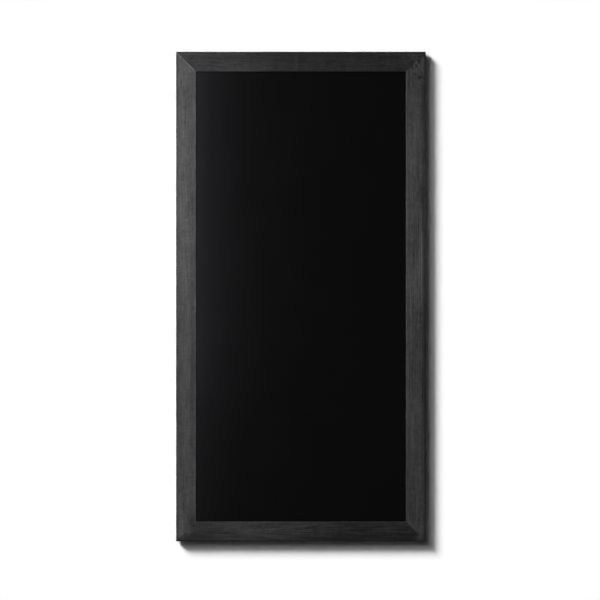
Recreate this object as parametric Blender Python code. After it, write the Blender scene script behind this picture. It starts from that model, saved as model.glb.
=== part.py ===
"""Wall chalkboard: four mitred wooden rails around a thin coated writing panel.

The board is drawn as it hangs. X runs along its width, the writing face looks along -Y, the wall is
the plane y = 0, and Z points up. The origin lies on the wall, midway between the two points where the
hanger rings rest on their hooks. Lengths are in metres.
"""

import math

import bmesh
import bpy
from mathutils import Matrix, Vector

MM = 0.001

# Clearances: between pieces that touch, and past the face that a cut starts from
CONTACT_GAP = 0.3 * MM
CUT_OVERRUN = 1.0 * MM

# Writing panel
WRITING_WIDTH = 560.0 * MM
WRITING_HEIGHT = 1200.0 * MM
PANEL_THICKNESS = 4.0 * MM
PANEL_EDGE_PLAY = 1.0 * MM
PANEL_ARRIS = 0.4 * MM

# Section of the rails
RAIL_FACE = 53.0 * MM
RAIL_THICKNESS = 20.0 * MM
LIP_THICKNESS = 9.0 * MM
REBATE_WIDTH = 10.0 * MM
OUTER_ROUND = 4.5 * MM
INNER_ROUND = 2.0 * MM
BACK_ROUND = 1.0 * MM

# Mitre nails: a folded strip on edge, driven across each corner from the back
NAIL_LEG = 8.5 * MM
NAIL_RETURN = 1.4 * MM
NAIL_SHEET = 0.5 * MM
NAIL_DEPTH = 10.0 * MM
NAIL_SUNK = 0.5 * MM
NAIL_PLACE_SHARES = {"outer": 0.30, "inner": 0.72}

# Flat points that hold the panel in its rebate
POINT_LENGTH = 15.0 * MM
POINT_WIDTH = 8.0 * MM
POINT_SHEET = 0.5 * MM
POINT_CORNER = 2.0 * MM
POINT_GRIP_SHARE = 0.5
POINT_TIP_SHARE = 0.25
POINTS_ON_RAIL = 3
POINTS_ON_STILE = 6

# Screws of the hangers
SCREW_SHANK_DIAMETER = 3.0 * MM
SCREW_HEAD_DIAMETER = 7.0 * MM
SCREW_HEAD_HEIGHT = 2.4 * MM
SCREW_RIM_HEIGHT = 0.7 * MM
SCREW_LENGTH = 13.0 * MM
SCREW_TIP_LENGTH = 3.5 * MM

# Rings of the hangers
RING_WIRE = 2.5 * MM
RING_BEND = 2.5 * MM
RING_LEG = 4.0 * MM
RING_SIDE_PLAY = 0.3 * MM

# Straps of the hangers, folded round the ring's bar
STRAP_WIDTH = 16.0 * MM
STRAP_LENGTH = 34.0 * MM
STRAP_SHEET = 1.0 * MM
STRAP_LAYER_GAP = 0.2 * MM
STRAP_RETURN_BEND = 2.5 * MM
STRAP_EYE_PLAY = 0.3 * MM
STRAP_HEAD_PLAY = 1.8 * MM
STRAP_HOLE_PITCH = 16.5 * MM

# Rubber bumpers, which keep the board off the wall
BUMPER_HEIGHT = 6.0 * MM
BUMPER_BASE_DIAMETER = 12.7 * MM
BUMPER_WALL_DIAMETER = 10.6 * MM
BUMPER_ROUND = 1.0 * MM
BUMPER_INSET = 70.0 * MM

# Height of the board's top edge above the hooks
HANG_DROP = 150.0 * MM

# Facets of the round shapes
EDGE_STEPS = 6
BEND_STEPS = 7
EYE_STEPS = 26
HOLE_STEPS = 24
TURNED_STEPS = 32
DOME_STEPS = 6
RING_BOW_STEPS = 24
RING_BEVEL_STEPS = 4
SHARP_DEGREES = 40

# Sizes and places that follow
BOARD_WIDTH = WRITING_WIDTH + 2 * RAIL_FACE
BOARD_HEIGHT = WRITING_HEIGHT + 2 * RAIL_FACE
BACK_WIDTH = RAIL_FACE - REBATE_WIDTH
RAIL_BACK_Y = -BUMPER_HEIGHT
BOARD_MIDDLE_Z = HANG_DROP - BOARD_HEIGHT / 2
PANEL_FRONT = LIP_THICKNESS + CONTACT_GAP - RAIL_THICKNESS
PANEL_BACK = PANEL_FRONT + PANEL_THICKNESS
POINT_FRONT = PANEL_BACK + CONTACT_GAP
POINT_GRIP = POINT_LENGTH * POINT_GRIP_SHARE

STRAP_EYE_RADIUS = RING_WIRE / 2 + STRAP_EYE_PLAY + STRAP_SHEET / 2
STRAP_OUTER_LAYER_Y = STRAP_SHEET + STRAP_LAYER_GAP - STRAP_EYE_RADIUS
STRAP_RETURN_REACH = STRAP_EYE_RADIUS + STRAP_RETURN_BEND
STRAP_RETURN_ANGLE = math.acos((STRAP_OUTER_LAYER_Y + STRAP_RETURN_BEND) / STRAP_RETURN_REACH)
STRAP_RETURN_DROP = STRAP_RETURN_REACH * math.sin(STRAP_RETURN_ANGLE)
STRAP_FIRST_HOLE = STRAP_RETURN_DROP + STRAP_HEAD_PLAY + SCREW_HEAD_DIAMETER / 2
STRAP_HOLES = (STRAP_FIRST_HOLE, STRAP_FIRST_HOLE + STRAP_HOLE_PITCH)
STRAP_HOLE_RADIUS = SCREW_SHANK_DIAMETER / 2 + CONTACT_GAP
SCREW_SEAT_Y = STRAP_OUTER_LAYER_Y + STRAP_SHEET / 2 + CONTACT_GAP

BAR_OFF_RAIL = STRAP_EYE_RADIUS + STRAP_SHEET / 2 + CONTACT_GAP
RING_BAR_REACH = STRAP_WIDTH / 2 + RING_SIDE_PLAY
RING_BOW_RADIUS = RING_BAR_REACH + RING_BEND
RING_BOW_HEIGHT = RING_BEND + RING_LEG
RING_REACH = RING_BOW_HEIGHT + RING_BOW_RADIUS
RING_LEAN = math.asin((BAR_OFF_RAIL - RING_WIRE / 2 - CONTACT_GAP) / RING_REACH)
BAR_DROP = (RING_REACH - RING_WIRE / 2) * math.cos(RING_LEAN)
HANGER_REACH = BOARD_WIDTH / 2 - BACK_WIDTH / 2
BUMPER_REACH = BOARD_HEIGHT / 2 - BUMPER_INSET

# The four rails, clockwise as seen from the front, and the corner at each one's start
SIDES = ("rail_top", "stile_right", "rail_bottom", "stile_left")
CORNERS = ("top_left", "top_right", "bottom_right", "bottom_left")
HANDS = {"left": -1, "right": 1}


def clear_scene():
    """Removes every object that the scene starts with."""
    for obj in list(bpy.data.objects):
        bpy.data.objects.remove(obj, do_unlink=True)


def finish(name, colour, roughness, metallic=0.0):
    """A plain Principled material."""
    material = bpy.data.materials.new(name)
    material.use_nodes = True
    shader = material.node_tree.nodes["Principled BSDF"]
    shader.inputs["Base Color"].default_value = (*colour, 1.0)
    shader.inputs["Roughness"].default_value = roughness
    shader.inputs["Metallic"].default_value = metallic
    return material


# Outlines: lists of points in a plane

def arc(centre, radius, start, end, steps):
    """Points of an arc from one angle to another, both ends included."""
    angles = [math.radians(start + (end - start) * step / steps) for step in range(steps + 1)]
    across, up = centre
    return [(across + radius * math.cos(angle), up + radius * math.sin(angle)) for angle in angles]


def circle(centre, radius, steps):
    """Points of a full circle."""
    return arc(centre, radius, 0, 360, steps)[:-1]


def rectangle(left, right, low, high):
    """The four corners of a rectangle."""
    return [(left, low), (right, low), (right, high), (left, high)]


def ribbon(path, thickness, spare=0.0):
    """Outline of a strip of sheet seen on edge, bent along a path. The spare grows it on every side."""
    points = [Vector(point) for point in path]
    steps = [(after - before).normalized() for before, after in zip(points, points[1:])]
    points[0] -= steps[0] * spare
    points[-1] += steps[-1] * spare
    half = thickness / 2 + spare
    offsets = []
    for before, after in zip([steps[0]] + steps, steps + [steps[-1]]):
        square = Vector((-after.y, after.x))
        middle = Vector((-before.y, before.x)) + square
        middle.normalize()
        offsets.append(middle * (half / middle.dot(square)))
    one_side = [tuple(point + offset) for point, offset in zip(points, offsets)]
    other_side = [tuple(point - offset) for point, offset in zip(points, offsets)]
    return one_side + other_side[::-1]


# Solids

def add_prism(bm, outline, low, high, frame=None):
    """Adds a prism. Its outline lies in X and Z of the frame, and it reaches from low to high along Y."""
    frame = frame or Matrix.Identity(4)
    face = bm.faces.new([bm.verts.new(frame @ Vector((x, low, z))) for x, z in outline])
    grown = bmesh.ops.extrude_face_region(bm, geom=[face])["geom"]
    moved = [item for item in grown if isinstance(item, bmesh.types.BMVert)]
    bmesh.ops.translate(bm, verts=moved, vec=frame.to_3x3() @ Vector((0, high - low, 0)))


def prism(outline, low, high, frame=None):
    """A new mesh that holds one prism."""
    bm = bmesh.new()
    add_prism(bm, outline, low, high, frame)
    return bm


def turned(profile, steps):
    """A new mesh turned about the Y axis from a profile of (radius, y) whose ends lie on the axis."""
    bm = bmesh.new()
    verts = [bm.verts.new((radius, y, 0)) for radius, y in profile]
    edges = [bm.edges.new(pair) for pair in zip(verts, verts[1:])]
    bmesh.ops.spin(bm, geom=verts + edges, axis=(0, 1, 0), cent=(0, 0, 0), angle=math.tau,
                   steps=steps, use_merge=True)
    bmesh.ops.remove_doubles(bm, verts=bm.verts[:], dist=CONTACT_GAP / 100)
    return bm


def place(obj, material, frame, root):
    """Gives an object its finish, its place and the board as its parent."""
    bpy.context.scene.collection.objects.link(obj)
    obj.data.materials.append(material)
    obj.parent = root
    obj.matrix_world = frame


def to_mesh(name, bm):
    """Ends the work on a mesh: its faces point outwards."""
    bmesh.ops.recalc_face_normals(bm, faces=bm.faces[:])
    mesh = bpy.data.meshes.new(name)
    bm.to_mesh(mesh)
    bm.free()
    return mesh


def shade(mesh):
    """Shades the round stretches smooth, and keeps the edges between flat faces sharp."""
    mesh.shade_smooth()
    mesh.set_sharp_from_angle(angle=math.radians(SHARP_DEGREES))


def make_piece(name, bm, material, frame, root):
    """Turns a mesh under construction into a named piece."""
    obj = bpy.data.objects.new(name, to_mesh(name, bm))
    shade(obj.data)
    place(obj, material, frame, root)
    return obj


def shape_with(obj, bm, operation):
    """Cuts or trims an object with a mesh that is already in its place in the world."""
    tool = bpy.data.objects.new(obj.name + "_tool", to_mesh(obj.name + "_tool", bm))
    bpy.context.scene.collection.objects.link(tool)
    modifier = obj.modifiers.new("shape", "BOOLEAN")
    modifier.operation = operation
    modifier.solver = "EXACT"
    modifier.object = tool
    evaluated = obj.evaluated_get(bpy.context.evaluated_depsgraph_get())
    shaped = bpy.data.meshes.new_from_object(evaluated)
    obj.modifiers.clear()
    obj.data = shaped
    shade(shaped)
    bpy.data.objects.remove(tool, do_unlink=True)


# Frames: where each piece lies

def side_length(side):
    """Outer length of a rail."""
    return BOARD_HEIGHT if side % 2 else BOARD_WIDTH


def opening_length(side):
    """Length of the writing surface along a rail."""
    return WRITING_HEIGHT if side % 2 else WRITING_WIDTH


def side_frame(side):
    """Middle of a rail's back outer edge, with X along the rail and -Z towards the panel."""
    reach = side_length(side + 1) / 2
    middle = Matrix.Translation((0, RAIL_BACK_Y, BOARD_MIDDLE_Z))
    return middle @ Matrix.Rotation(side * math.pi / 2, 4, "Y") @ Matrix.Translation((0, 0, reach))


def nail_frame(corner, share):
    """Fold of a mitre nail, on the mitre line of the corner where the rail of that number starts."""
    inset = BACK_WIDTH * share
    return side_frame(corner) @ Matrix.Translation((inset - side_length(corner) / 2, 0, -inset))


def point_frames(side):
    """Places of a rail's points, at the wall of its rebate, evenly along the writing surface."""
    count = POINTS_ON_STILE if side % 2 else POINTS_ON_RAIL
    pitch = opening_length(side) / count
    starts = [(number + 0.5) * pitch - opening_length(side) / 2 for number in range(count)]
    return [side_frame(side) @ Matrix.Translation((start, 0, -BACK_WIDTH)) for start in starts]


def hanger_frame(hand):
    """Middle of a ring's bar, which is the axis that the ring turns about."""
    return Matrix.Translation((HANDS[hand] * HANGER_REACH, RAIL_BACK_Y + BAR_OFF_RAIL, -BAR_DROP))


def screw_frames(hand):
    """Seats of a hanger's screws, on the strap's outer layer."""
    return [hanger_frame(hand) @ Matrix.Translation((0, SCREW_SEAT_Y, -drop)) for drop in STRAP_HOLES]


# Rails

def rail_section():
    """Section of a rail: distance from its outer edge, and place between its back at 0 and its front."""
    front = -RAIL_THICKNESS
    back_corner = (BACK_ROUND, -BACK_ROUND)
    outer_corner = (OUTER_ROUND, front + OUTER_ROUND)
    inner_corner = (RAIL_FACE - INNER_ROUND, front + INNER_ROUND)
    section = arc(back_corner, BACK_ROUND, 90, 180, EDGE_STEPS // 2)
    section += arc(outer_corner, OUTER_ROUND, 180, 270, EDGE_STEPS)
    section += arc(inner_corner, INNER_ROUND, 270, 360, EDGE_STEPS)
    section += [(RAIL_FACE, front + LIP_THICKNESS), (BACK_WIDTH, front + LIP_THICKNESS), (BACK_WIDTH, 0)]
    return section


def rail_blank(side):
    """A rail before its cuts: the section, carried between two mitres that face the other rails."""
    bm = bmesh.new()
    mitre_relief = CONTACT_GAP / math.sqrt(2)
    loops = []
    for end in (-1, 1):
        verts = []
        for inset, y in rail_section():
            reach = side_length(side) / 2 - inset - mitre_relief
            verts.append(bm.verts.new((end * reach, y, -inset)))
        bm.faces.new(verts)
        loops += [bm.edges.get(pair) for pair in zip(verts, verts[1:] + verts[:1])]
    bmesh.ops.bridge_loops(bm, edges=loops)
    return bm


def rail_cuts(side):
    """Everything that is cut from a rail: slots for mitre nails and points, and holes for screws."""
    bm = bmesh.new()
    nail_slot = ribbon(nail_path(), NAIL_SHEET, CONTACT_GAP)
    nail_floor = -(NAIL_SUNK + NAIL_DEPTH + CONTACT_GAP)
    for corner in (side, (side + 1) % len(SIDES)):
        for share in NAIL_PLACE_SHARES.values():
            add_prism(bm, nail_slot, nail_floor, CUT_OVERRUN, nail_frame(corner, share))
    half_width = POINT_WIDTH / 2 + CONTACT_GAP
    point_slot = rectangle(-half_width, half_width, -CUT_OVERRUN, POINT_GRIP + CONTACT_GAP)
    for frame in point_frames(side):
        add_prism(bm, point_slot, PANEL_BACK, POINT_FRONT + POINT_SHEET + CONTACT_GAP, frame)
    hand = SIDES[side].rpartition("_")[2]
    if hand in HANDS:
        for frame in screw_frames(hand):
            pilot = circle((0, 0), STRAP_HOLE_RADIUS, HOLE_STEPS)
            add_prism(bm, pilot, -(SCREW_LENGTH + CONTACT_GAP), 0, frame)
    return bm


def make_rails(wood, root):
    """The four rails, clockwise from the top."""
    for side, name in enumerate(SIDES):
        rail = make_piece(name, rail_blank(side), wood, side_frame(side), root)
        shape_with(rail, rail_cuts(side), "DIFFERENCE")


# Mitre nails

def nail_path():
    """A mitre nail seen from behind: a leg along each rail, and a short bent return at each leg's end."""
    bend = NAIL_RETURN / math.sqrt(2)
    return [(NAIL_LEG + bend, -bend), (NAIL_LEG, 0), (0, 0), (0, -NAIL_LEG), (bend, -NAIL_LEG - bend)]


def make_mitre_nails(steel, root):
    """Two mitre nails in each corner, a little below the back of the rails."""
    outline = ribbon(nail_path(), NAIL_SHEET)
    for corner, corner_name in enumerate(CORNERS):
        for place_name, share in NAIL_PLACE_SHARES.items():
            bm = prism(outline, -(NAIL_SUNK + NAIL_DEPTH), -NAIL_SUNK)
            name = f"mitre_nail_{corner_name}_{place_name}"
            make_piece(name, bm, steel, nail_frame(corner, share), root)


# Writing panel and its points

def make_panel(board, root):
    """The coated board, which lies in the rebate with play at its edges."""
    half_width = WRITING_WIDTH / 2 + REBATE_WIDTH - PANEL_EDGE_PLAY
    half_height = WRITING_HEIGHT / 2 + REBATE_WIDTH - PANEL_EDGE_PLAY
    outline = rectangle(-half_width, half_width, -half_height, half_height)
    frame = Matrix.Translation((0, RAIL_BACK_Y, BOARD_MIDDLE_Z))
    panel = make_piece("writing_panel", prism(outline, PANEL_FRONT, PANEL_BACK), board, frame, root)
    arris = panel.modifiers.new("arris", "BEVEL")
    arris.width = PANEL_ARRIS
    arris.segments = 1


def point_outline():
    """A flat point: its tip lies in the rail's slot, and its rounded end on the panel's back."""
    half_width = POINT_WIDTH / 2
    shoulder = POINT_GRIP - POINT_LENGTH * POINT_TIP_SHARE
    low = POINT_GRIP - POINT_LENGTH + POINT_CORNER
    reach = half_width - POINT_CORNER
    left_corner = arc((-reach, low), POINT_CORNER, 180, 270, EDGE_STEPS // 2)
    right_corner = arc((reach, low), POINT_CORNER, 270, 360, EDGE_STEPS // 2)
    return left_corner + right_corner + [(half_width, shoulder), (0, POINT_GRIP), (-half_width, shoulder)]


def make_points(steel, root):
    """The points that hold the panel, numbered clockwise along each rail."""
    for side, side_name in enumerate(SIDES):
        for number, frame in enumerate(point_frames(side), start=1):
            bm = prism(point_outline(), POINT_FRONT, POINT_FRONT + POINT_SHEET)
            make_piece(f"point_{side_name}_{number}", bm, steel, frame, root)


# Hangers

def strap_path():
    """A strap seen on edge, as (y, z) from the ring's bar: up the rail, round the bar, and down again."""
    end = -(STRAP_LENGTH + CUT_OVERRUN)
    eye = arc((0, 0), STRAP_EYE_RADIUS, 180, -math.degrees(STRAP_RETURN_ANGLE), EYE_STEPS)
    bend_centre = (STRAP_OUTER_LAYER_Y + STRAP_RETURN_BEND, -STRAP_RETURN_DROP)
    bend_start = 180 - math.degrees(STRAP_RETURN_ANGLE)
    bend = arc(bend_centre, STRAP_RETURN_BEND, bend_start, 180, BEND_STEPS)
    return [(-STRAP_EYE_RADIUS, end)] + eye + bend[1:] + [(STRAP_OUTER_LAYER_Y, end)]


def make_strap(hand, steel, root):
    """A strap: the folded sheet, trimmed to its width and round end, with two holes for screws."""
    frame = hanger_frame(hand)
    half_width = STRAP_WIDTH / 2
    on_edge = Matrix.Rotation(math.pi / 2, 4, "Z")
    reach = half_width + CUT_OVERRUN
    blank = prism(ribbon(strap_path(), STRAP_SHEET), -reach, reach, on_edge)
    strap = make_piece(f"hanger_strap_{hand}", blank, steel, frame, root)
    top = STRAP_EYE_RADIUS + STRAP_SHEET
    outline = arc((0, half_width - STRAP_LENGTH), half_width, 180, 360, HOLE_STEPS)
    outline += [(half_width, top), (-half_width, top)]
    trim = prism(outline, -BAR_OFF_RAIL, BAR_OFF_RAIL, frame)
    shape_with(strap, trim, "INTERSECT")
    holes = bmesh.new()
    for drop in STRAP_HOLES:
        hole = circle((0, -drop), STRAP_HOLE_RADIUS, HOLE_STEPS)
        add_prism(holes, hole, -BAR_OFF_RAIL, BAR_OFF_RAIL, frame)
    shape_with(strap, holes, "DIFFERENCE")


def ring_path():
    """A ring's wire, drawn flat from the middle of its straight bar: two bends, two legs and a bow."""
    path = arc((RING_BAR_REACH, RING_BEND), RING_BEND, -90, 0, BEND_STEPS)
    path += arc((0, RING_BOW_HEIGHT), RING_BOW_RADIUS, 0, 180, RING_BOW_STEPS)
    path += arc((-RING_BAR_REACH, RING_BEND), RING_BEND, 180, 270, BEND_STEPS)
    return path


def make_ring(hand, steel, root):
    """A ring of round wire, closed along its bar. It is stood up on its bar, and leans on the rail."""
    name = f"hanger_ring_{hand}"
    wire = bpy.data.curves.new(name, "CURVE")
    wire.dimensions = "3D"
    wire.twist_mode = "Z_UP"
    wire.bevel_depth = RING_WIRE / 2
    wire.bevel_resolution = RING_BEVEL_STEPS
    wire.resolution_u = 1
    wire.render_resolution_u = 0
    path = ring_path()
    spline = wire.splines.new("POLY")
    spline.points.add(len(path) - 1)
    for point, (x, y) in zip(spline.points, path):
        point.co = (x, y, 0, 1)
    spline.use_cyclic_u = True
    ring = bpy.data.objects.new(name, wire)
    stood_up = Matrix.Rotation(math.pi / 2 + RING_LEAN, 4, "X")
    place(ring, steel, hanger_frame(hand) @ stood_up, root)


def screw_profile():
    """A screw: its tip, its shank, and a domed head whose underside lies at y = 0."""
    shank = SCREW_SHANK_DIAMETER / 2
    head = SCREW_HEAD_DIAMETER / 2
    dome_height = SCREW_HEAD_HEIGHT - SCREW_RIM_HEIGHT
    profile = [(0, -SCREW_LENGTH), (shank, SCREW_TIP_LENGTH - SCREW_LENGTH), (shank, 0), (head, 0)]
    for step in range(DOME_STEPS):
        angle = step / DOME_STEPS * math.pi / 2
        profile.append((head * math.cos(angle), SCREW_RIM_HEIGHT + dome_height * math.sin(angle)))
    return profile + [(0, SCREW_HEAD_HEIGHT)]


def make_hangers(steel, root):
    """Both hangers: a strap, its ring and its two screws."""
    for hand in HANDS:
        make_strap(hand, steel, root)
        make_ring(hand, steel, root)
        for place_name, frame in zip(("upper", "lower"), screw_frames(hand)):
            bm = turned(screw_profile(), TURNED_STEPS)
            make_piece(f"hanger_screw_{hand}_{place_name}", bm, steel, frame, root)


# Bumpers

def bumper_profile():
    """A bumper: a short cone with a rounded rim where it meets the wall."""
    base = BUMPER_BASE_DIAMETER / 2
    rim = BUMPER_WALL_DIAMETER / 2 - BUMPER_ROUND
    low = CONTACT_GAP - BUMPER_HEIGHT
    return [(0, low), (base, low)] + arc((rim, -BUMPER_ROUND), BUMPER_ROUND, 0, 90, EDGE_STEPS) + [(0, 0)]


def make_bumpers(rubber, root):
    """A bumper near each corner, on the backs of the stiles."""
    for end, lift in (("top", 1), ("bottom", -1)):
        for hand, across in HANDS.items():
            height = BOARD_MIDDLE_Z + lift * BUMPER_REACH
            frame = Matrix.Translation((across * HANGER_REACH, 0, height))
            bm = turned(bumper_profile(), TURNED_STEPS)
            make_piece(f"bumper_{end}_{hand}", bm, rubber, frame, root)


def main():
    """Builds the whole board."""
    clear_scene()
    root = bpy.data.objects.new("wall_chalkboard", None)
    bpy.context.scene.collection.objects.link(root)
    stained_wood = finish("stained_wood", (0.045, 0.045, 0.046), 0.5)
    coated_board = finish("coated_board", (0.006, 0.006, 0.0065), 0.55)
    zinc_steel = finish("zinc_steel", (0.56, 0.57, 0.58), 0.35, metallic=1.0)
    black_rubber = finish("black_rubber", (0.02, 0.02, 0.02), 0.8)
    make_rails(stained_wood, root)
    make_mitre_nails(zinc_steel, root)
    make_panel(coated_board, root)
    make_points(zinc_steel, root)
    make_hangers(zinc_steel, root)
    make_bumpers(black_rubber, root)


main()
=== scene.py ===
"""Wall chalkboard with its finishes: stained rails, a chalk panel, zinc fittings and rubber bumpers.

X runs along the board's width, the writing face looks along -Y, the wall is the plane y = 0 and Z
points up. Lengths are in metres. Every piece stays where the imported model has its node.
"""

from __future__ import annotations

import logging
import math
from collections.abc import Sequence
from dataclasses import dataclass
from enum import Enum

import bpy
import numpy as np
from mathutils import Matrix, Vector


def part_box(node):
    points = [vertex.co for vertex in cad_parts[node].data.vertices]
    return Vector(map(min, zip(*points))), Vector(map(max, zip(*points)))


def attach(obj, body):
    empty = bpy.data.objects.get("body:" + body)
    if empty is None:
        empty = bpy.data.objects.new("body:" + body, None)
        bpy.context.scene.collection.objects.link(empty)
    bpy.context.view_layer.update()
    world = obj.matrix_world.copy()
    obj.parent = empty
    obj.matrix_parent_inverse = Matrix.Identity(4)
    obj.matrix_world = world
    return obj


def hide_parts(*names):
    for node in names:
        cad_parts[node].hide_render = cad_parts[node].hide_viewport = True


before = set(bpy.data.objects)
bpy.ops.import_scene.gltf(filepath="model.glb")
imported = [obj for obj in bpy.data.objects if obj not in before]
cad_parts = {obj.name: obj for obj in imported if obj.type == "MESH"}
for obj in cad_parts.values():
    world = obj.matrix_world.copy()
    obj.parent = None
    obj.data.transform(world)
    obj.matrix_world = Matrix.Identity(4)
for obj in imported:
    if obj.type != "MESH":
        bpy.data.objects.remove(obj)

LOG = logging.getLogger("chalkboard")
MM = 0.001
SHARP_ANGLE = math.radians(38)
TURN = 2 * math.pi
LEAST_RADIUS = 0.02 * MM
FIRST_MIX = np.uint32(0x9E3779B1)
SECOND_MIX = np.uint32(0x85EBCA77)

Array = np.ndarray
Colour = tuple[float, float, float]
Triple = tuple[float, float, float]
Stops = tuple[tuple[float, float], ...]


# Arrays: noise, outlines and closed surfaces


def smooth_step(values: Array) -> Array:
    """Blends from 0 to 1 without a corner: 3t² - 2t³, with t held between 0 and 1."""
    held = np.clip(values, 0.0, 1.0)
    return held * held * (3 - 2 * held)


def lattice_value(cells: Array, seed: int) -> Array:
    """Gives each whole-numbered cell a repeatable value from 0 to 1, by mixing its numbers' bits.

    Args:
        cells: Whole numbers, with one cell in each last axis.
        seed: Picks another set of values.

    Returns:
        One value for each cell.
    """
    mixed = np.full(cells.shape[:-1], seed, np.uint32)
    for axis in range(cells.shape[-1]):
        mixed = (mixed ^ cells[..., axis].astype(np.uint32)) * FIRST_MIX
        mixed ^= mixed >> np.uint32(15)
    mixed = mixed * SECOND_MIX
    mixed ^= mixed >> np.uint32(13)
    return mixed / 2.0**32


def value_noise(points: Array, cell: Sequence[float], seed: int) -> Array:
    """Smooth noise from -1 to 1: each cell blends the values of its corners.

    Args:
        points: Positions, with their coordinates in the last axis.
        cell: Size of a cell along each coordinate.
        seed: Picks another noise.

    Returns:
        The noise at each position.
    """
    scaled = points / np.asarray(cell)
    corner = np.floor(scaled)
    blend = smooth_step(scaled - corner)
    total = np.zeros(points.shape[:-1])
    for offset in np.ndindex(*(2,) * points.shape[-1]):
        weight = np.prod(np.where(offset, blend, 1 - blend), axis=-1)
        total += weight * lattice_value((corner + offset).astype(np.int64), seed)
    return 2 * total - 1


def divided(start: Array, end: Array, pitch: float) -> Array:
    """Points along a straight line at about the pitch, with its start and without its end."""
    count = max(1, math.ceil(float(np.linalg.norm(end - start)) / pitch))
    return start + np.linspace(0, 1, count, endpoint=False)[:, None] * (end - start)


def rounded_corner(before: Array, corner: Array, after: Array, radius: float, steps: int) -> Array:
    """The arc that replaces a corner: it touches both sides, so its centre lies on their bisector.

    Args:
        before: The corner before, as (x, y).
        corner: The corner that is rounded.
        after: The corner after.
        radius: Radius of the arc; none leaves the corner as it is.
        steps: Steps along the arc.

    Returns:
        The arc's points, both ends included.
    """
    if not radius:
        return corner[None]
    back = (before - corner) / np.linalg.norm(before - corner)
    ahead = (after - corner) / np.linalg.norm(after - corner)
    half = math.acos(float(np.clip(back @ ahead, -1, 1))) / 2
    middle = (back + ahead) / np.linalg.norm(back + ahead)
    centre = corner + middle * radius / math.sin(half)
    spoke = corner + back * radius / math.tan(half) - centre
    sweep = math.copysign(math.pi - 2 * half, float(back[1] * ahead[0] - back[0] * ahead[1]))
    angles = np.linspace(0, sweep, steps + 1)
    turned_x = spoke[0] * np.cos(angles) - spoke[1] * np.sin(angles)
    turned_y = spoke[0] * np.sin(angles) + spoke[1] * np.cos(angles)
    return centre + np.stack([turned_x, turned_y], axis=-1)


def outline(
    corners: Sequence[Sequence[float]], pitches: Sequence[float], steps: int, closed: bool = True
) -> Array:
    """A polygon with rounded corners and divided sides.

    Args:
        corners: Each corner as (x, y, radius).
        pitches: For each corner, the pitch of the points on the side that follows it.
        steps: Steps of each corner's arc.
        closed: Whether the last corner joins the first.

    Returns:
        The outline's points as (x, y).
    """
    table = np.asarray(corners, float)
    places = table[:, :2]
    last = len(places) - 1
    parts = []
    for number, (x, y, radius) in enumerate(table):
        at_end = not closed and number in (0, last)
        before, after = places[number - 1], places[(number + 1) % len(places)]
        arc = rounded_corner(before, np.array([x, y]), after, 0.0 if at_end else radius, steps)
        parts.append(arc)
    points = []
    for number, part in enumerate(parts):
        points.append(part[:-1])
        if closed or number < last:
            points.append(divided(part[-1], parts[(number + 1) % len(parts)][0], pitches[number]))
        else:
            points.append(part[-1:])
    return np.concatenate(points)


def grid_quads(rows: int, columns: int, loop_rows: bool, loop_columns: bool) -> Array:
    """Corner numbers of the quads of a grid of points, joined up along a looped direction.

    Args:
        rows: Rows of the grid.
        columns: Points in each row.
        loop_rows: Whether the last row joins the first.
        loop_columns: Whether each row's last point joins its first.

    Returns:
        Four numbers for each quad.
    """
    numbers = np.arange(rows * columns).reshape(rows, columns)
    if loop_rows:
        numbers = np.vstack([numbers, numbers[:1]])
    if loop_columns:
        numbers = np.hstack([numbers, numbers[:, :1]])
    corners = [numbers[:-1, :-1], numbers[1:, :-1], numbers[1:, 1:], numbers[:-1, 1:]]
    return np.stack(corners, axis=-1).reshape(-1, 4)


@dataclass
class Shell:
    """A closed surface: its points, and patches of faces with equal corner counts."""

    points: Array
    patches: list[Array]
    finish_of_patch: list[int] | None = None

    def volume(self) -> float:
        """Enclosed volume: a sixth of the sum of a · (b × c) over each face's fan of triangles.

        Returns:
            The volume, which is negative where the faces look inwards.
        """
        centred = self.points - self.points.mean(axis=0)
        total = 0.0
        for patch in self.patches:
            corners = centred[patch]
            products = np.cross(corners[:, 1:-1], corners[:, 2:])
            total += float(np.sum(corners[:, :1] * products))
        return total / 6

    def outward(self) -> Shell:
        """Turns the faces round where they enclose a negative volume.

        Returns:
            The shell itself.
        """
        if self.volume() < 0:
            self.patches = [patch[:, ::-1] for patch in self.patches]
        return self


def shell_of_rows(grid: Array, loop: bool = False, finishes: Sequence[int] | None = None) -> Shell:
    """The surface over rows that are closed outlines: a face ends it at both ends, or the rows loop.

    Args:
        grid: Points as (row, column, coordinate).
        loop: Whether the last row joins the first.
        finishes: Number of the finish between each row and the next, where there is more than one.

    Returns:
        The closed shell, with its faces outwards.
    """
    rows, columns = grid.shape[:2]
    quads = grid_quads(rows, columns, loop, True)
    if finishes is None:
        patches, numbers = [quads], [0]
    else:
        strips = quads.reshape(-1, columns, 4)
        patches = list(strips)
        numbers = list(finishes)
    if not loop:
        first = np.arange(columns)[None]
        patches += [first, first[:, ::-1] + (rows - 1) * columns]
        numbers += [numbers[0], numbers[-1]]
    return Shell(grid.reshape(-1, 3), patches, numbers).outward()


def carried(section: Array, path: Array, sides: Array, ups: Array, loop: bool = False) -> Shell:
    """A profile carried along a path: point = path + section x · side + section y · up.

    Args:
        section: The profile as (column, 2), or as (row, column, 2) where it changes on the way.
        path: Points of the path as (row, 3).
        sides: Direction of the profile's x at each point of the path.
        ups: Direction of the profile's y there.
        loop: Whether the path is closed.

    Returns:
        The closed shell.
    """
    across = section[..., 0:1] * sides[:, None]
    up = section[..., 1:2] * ups[:, None]
    return shell_of_rows(path[:, None] + across + up, loop)


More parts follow.
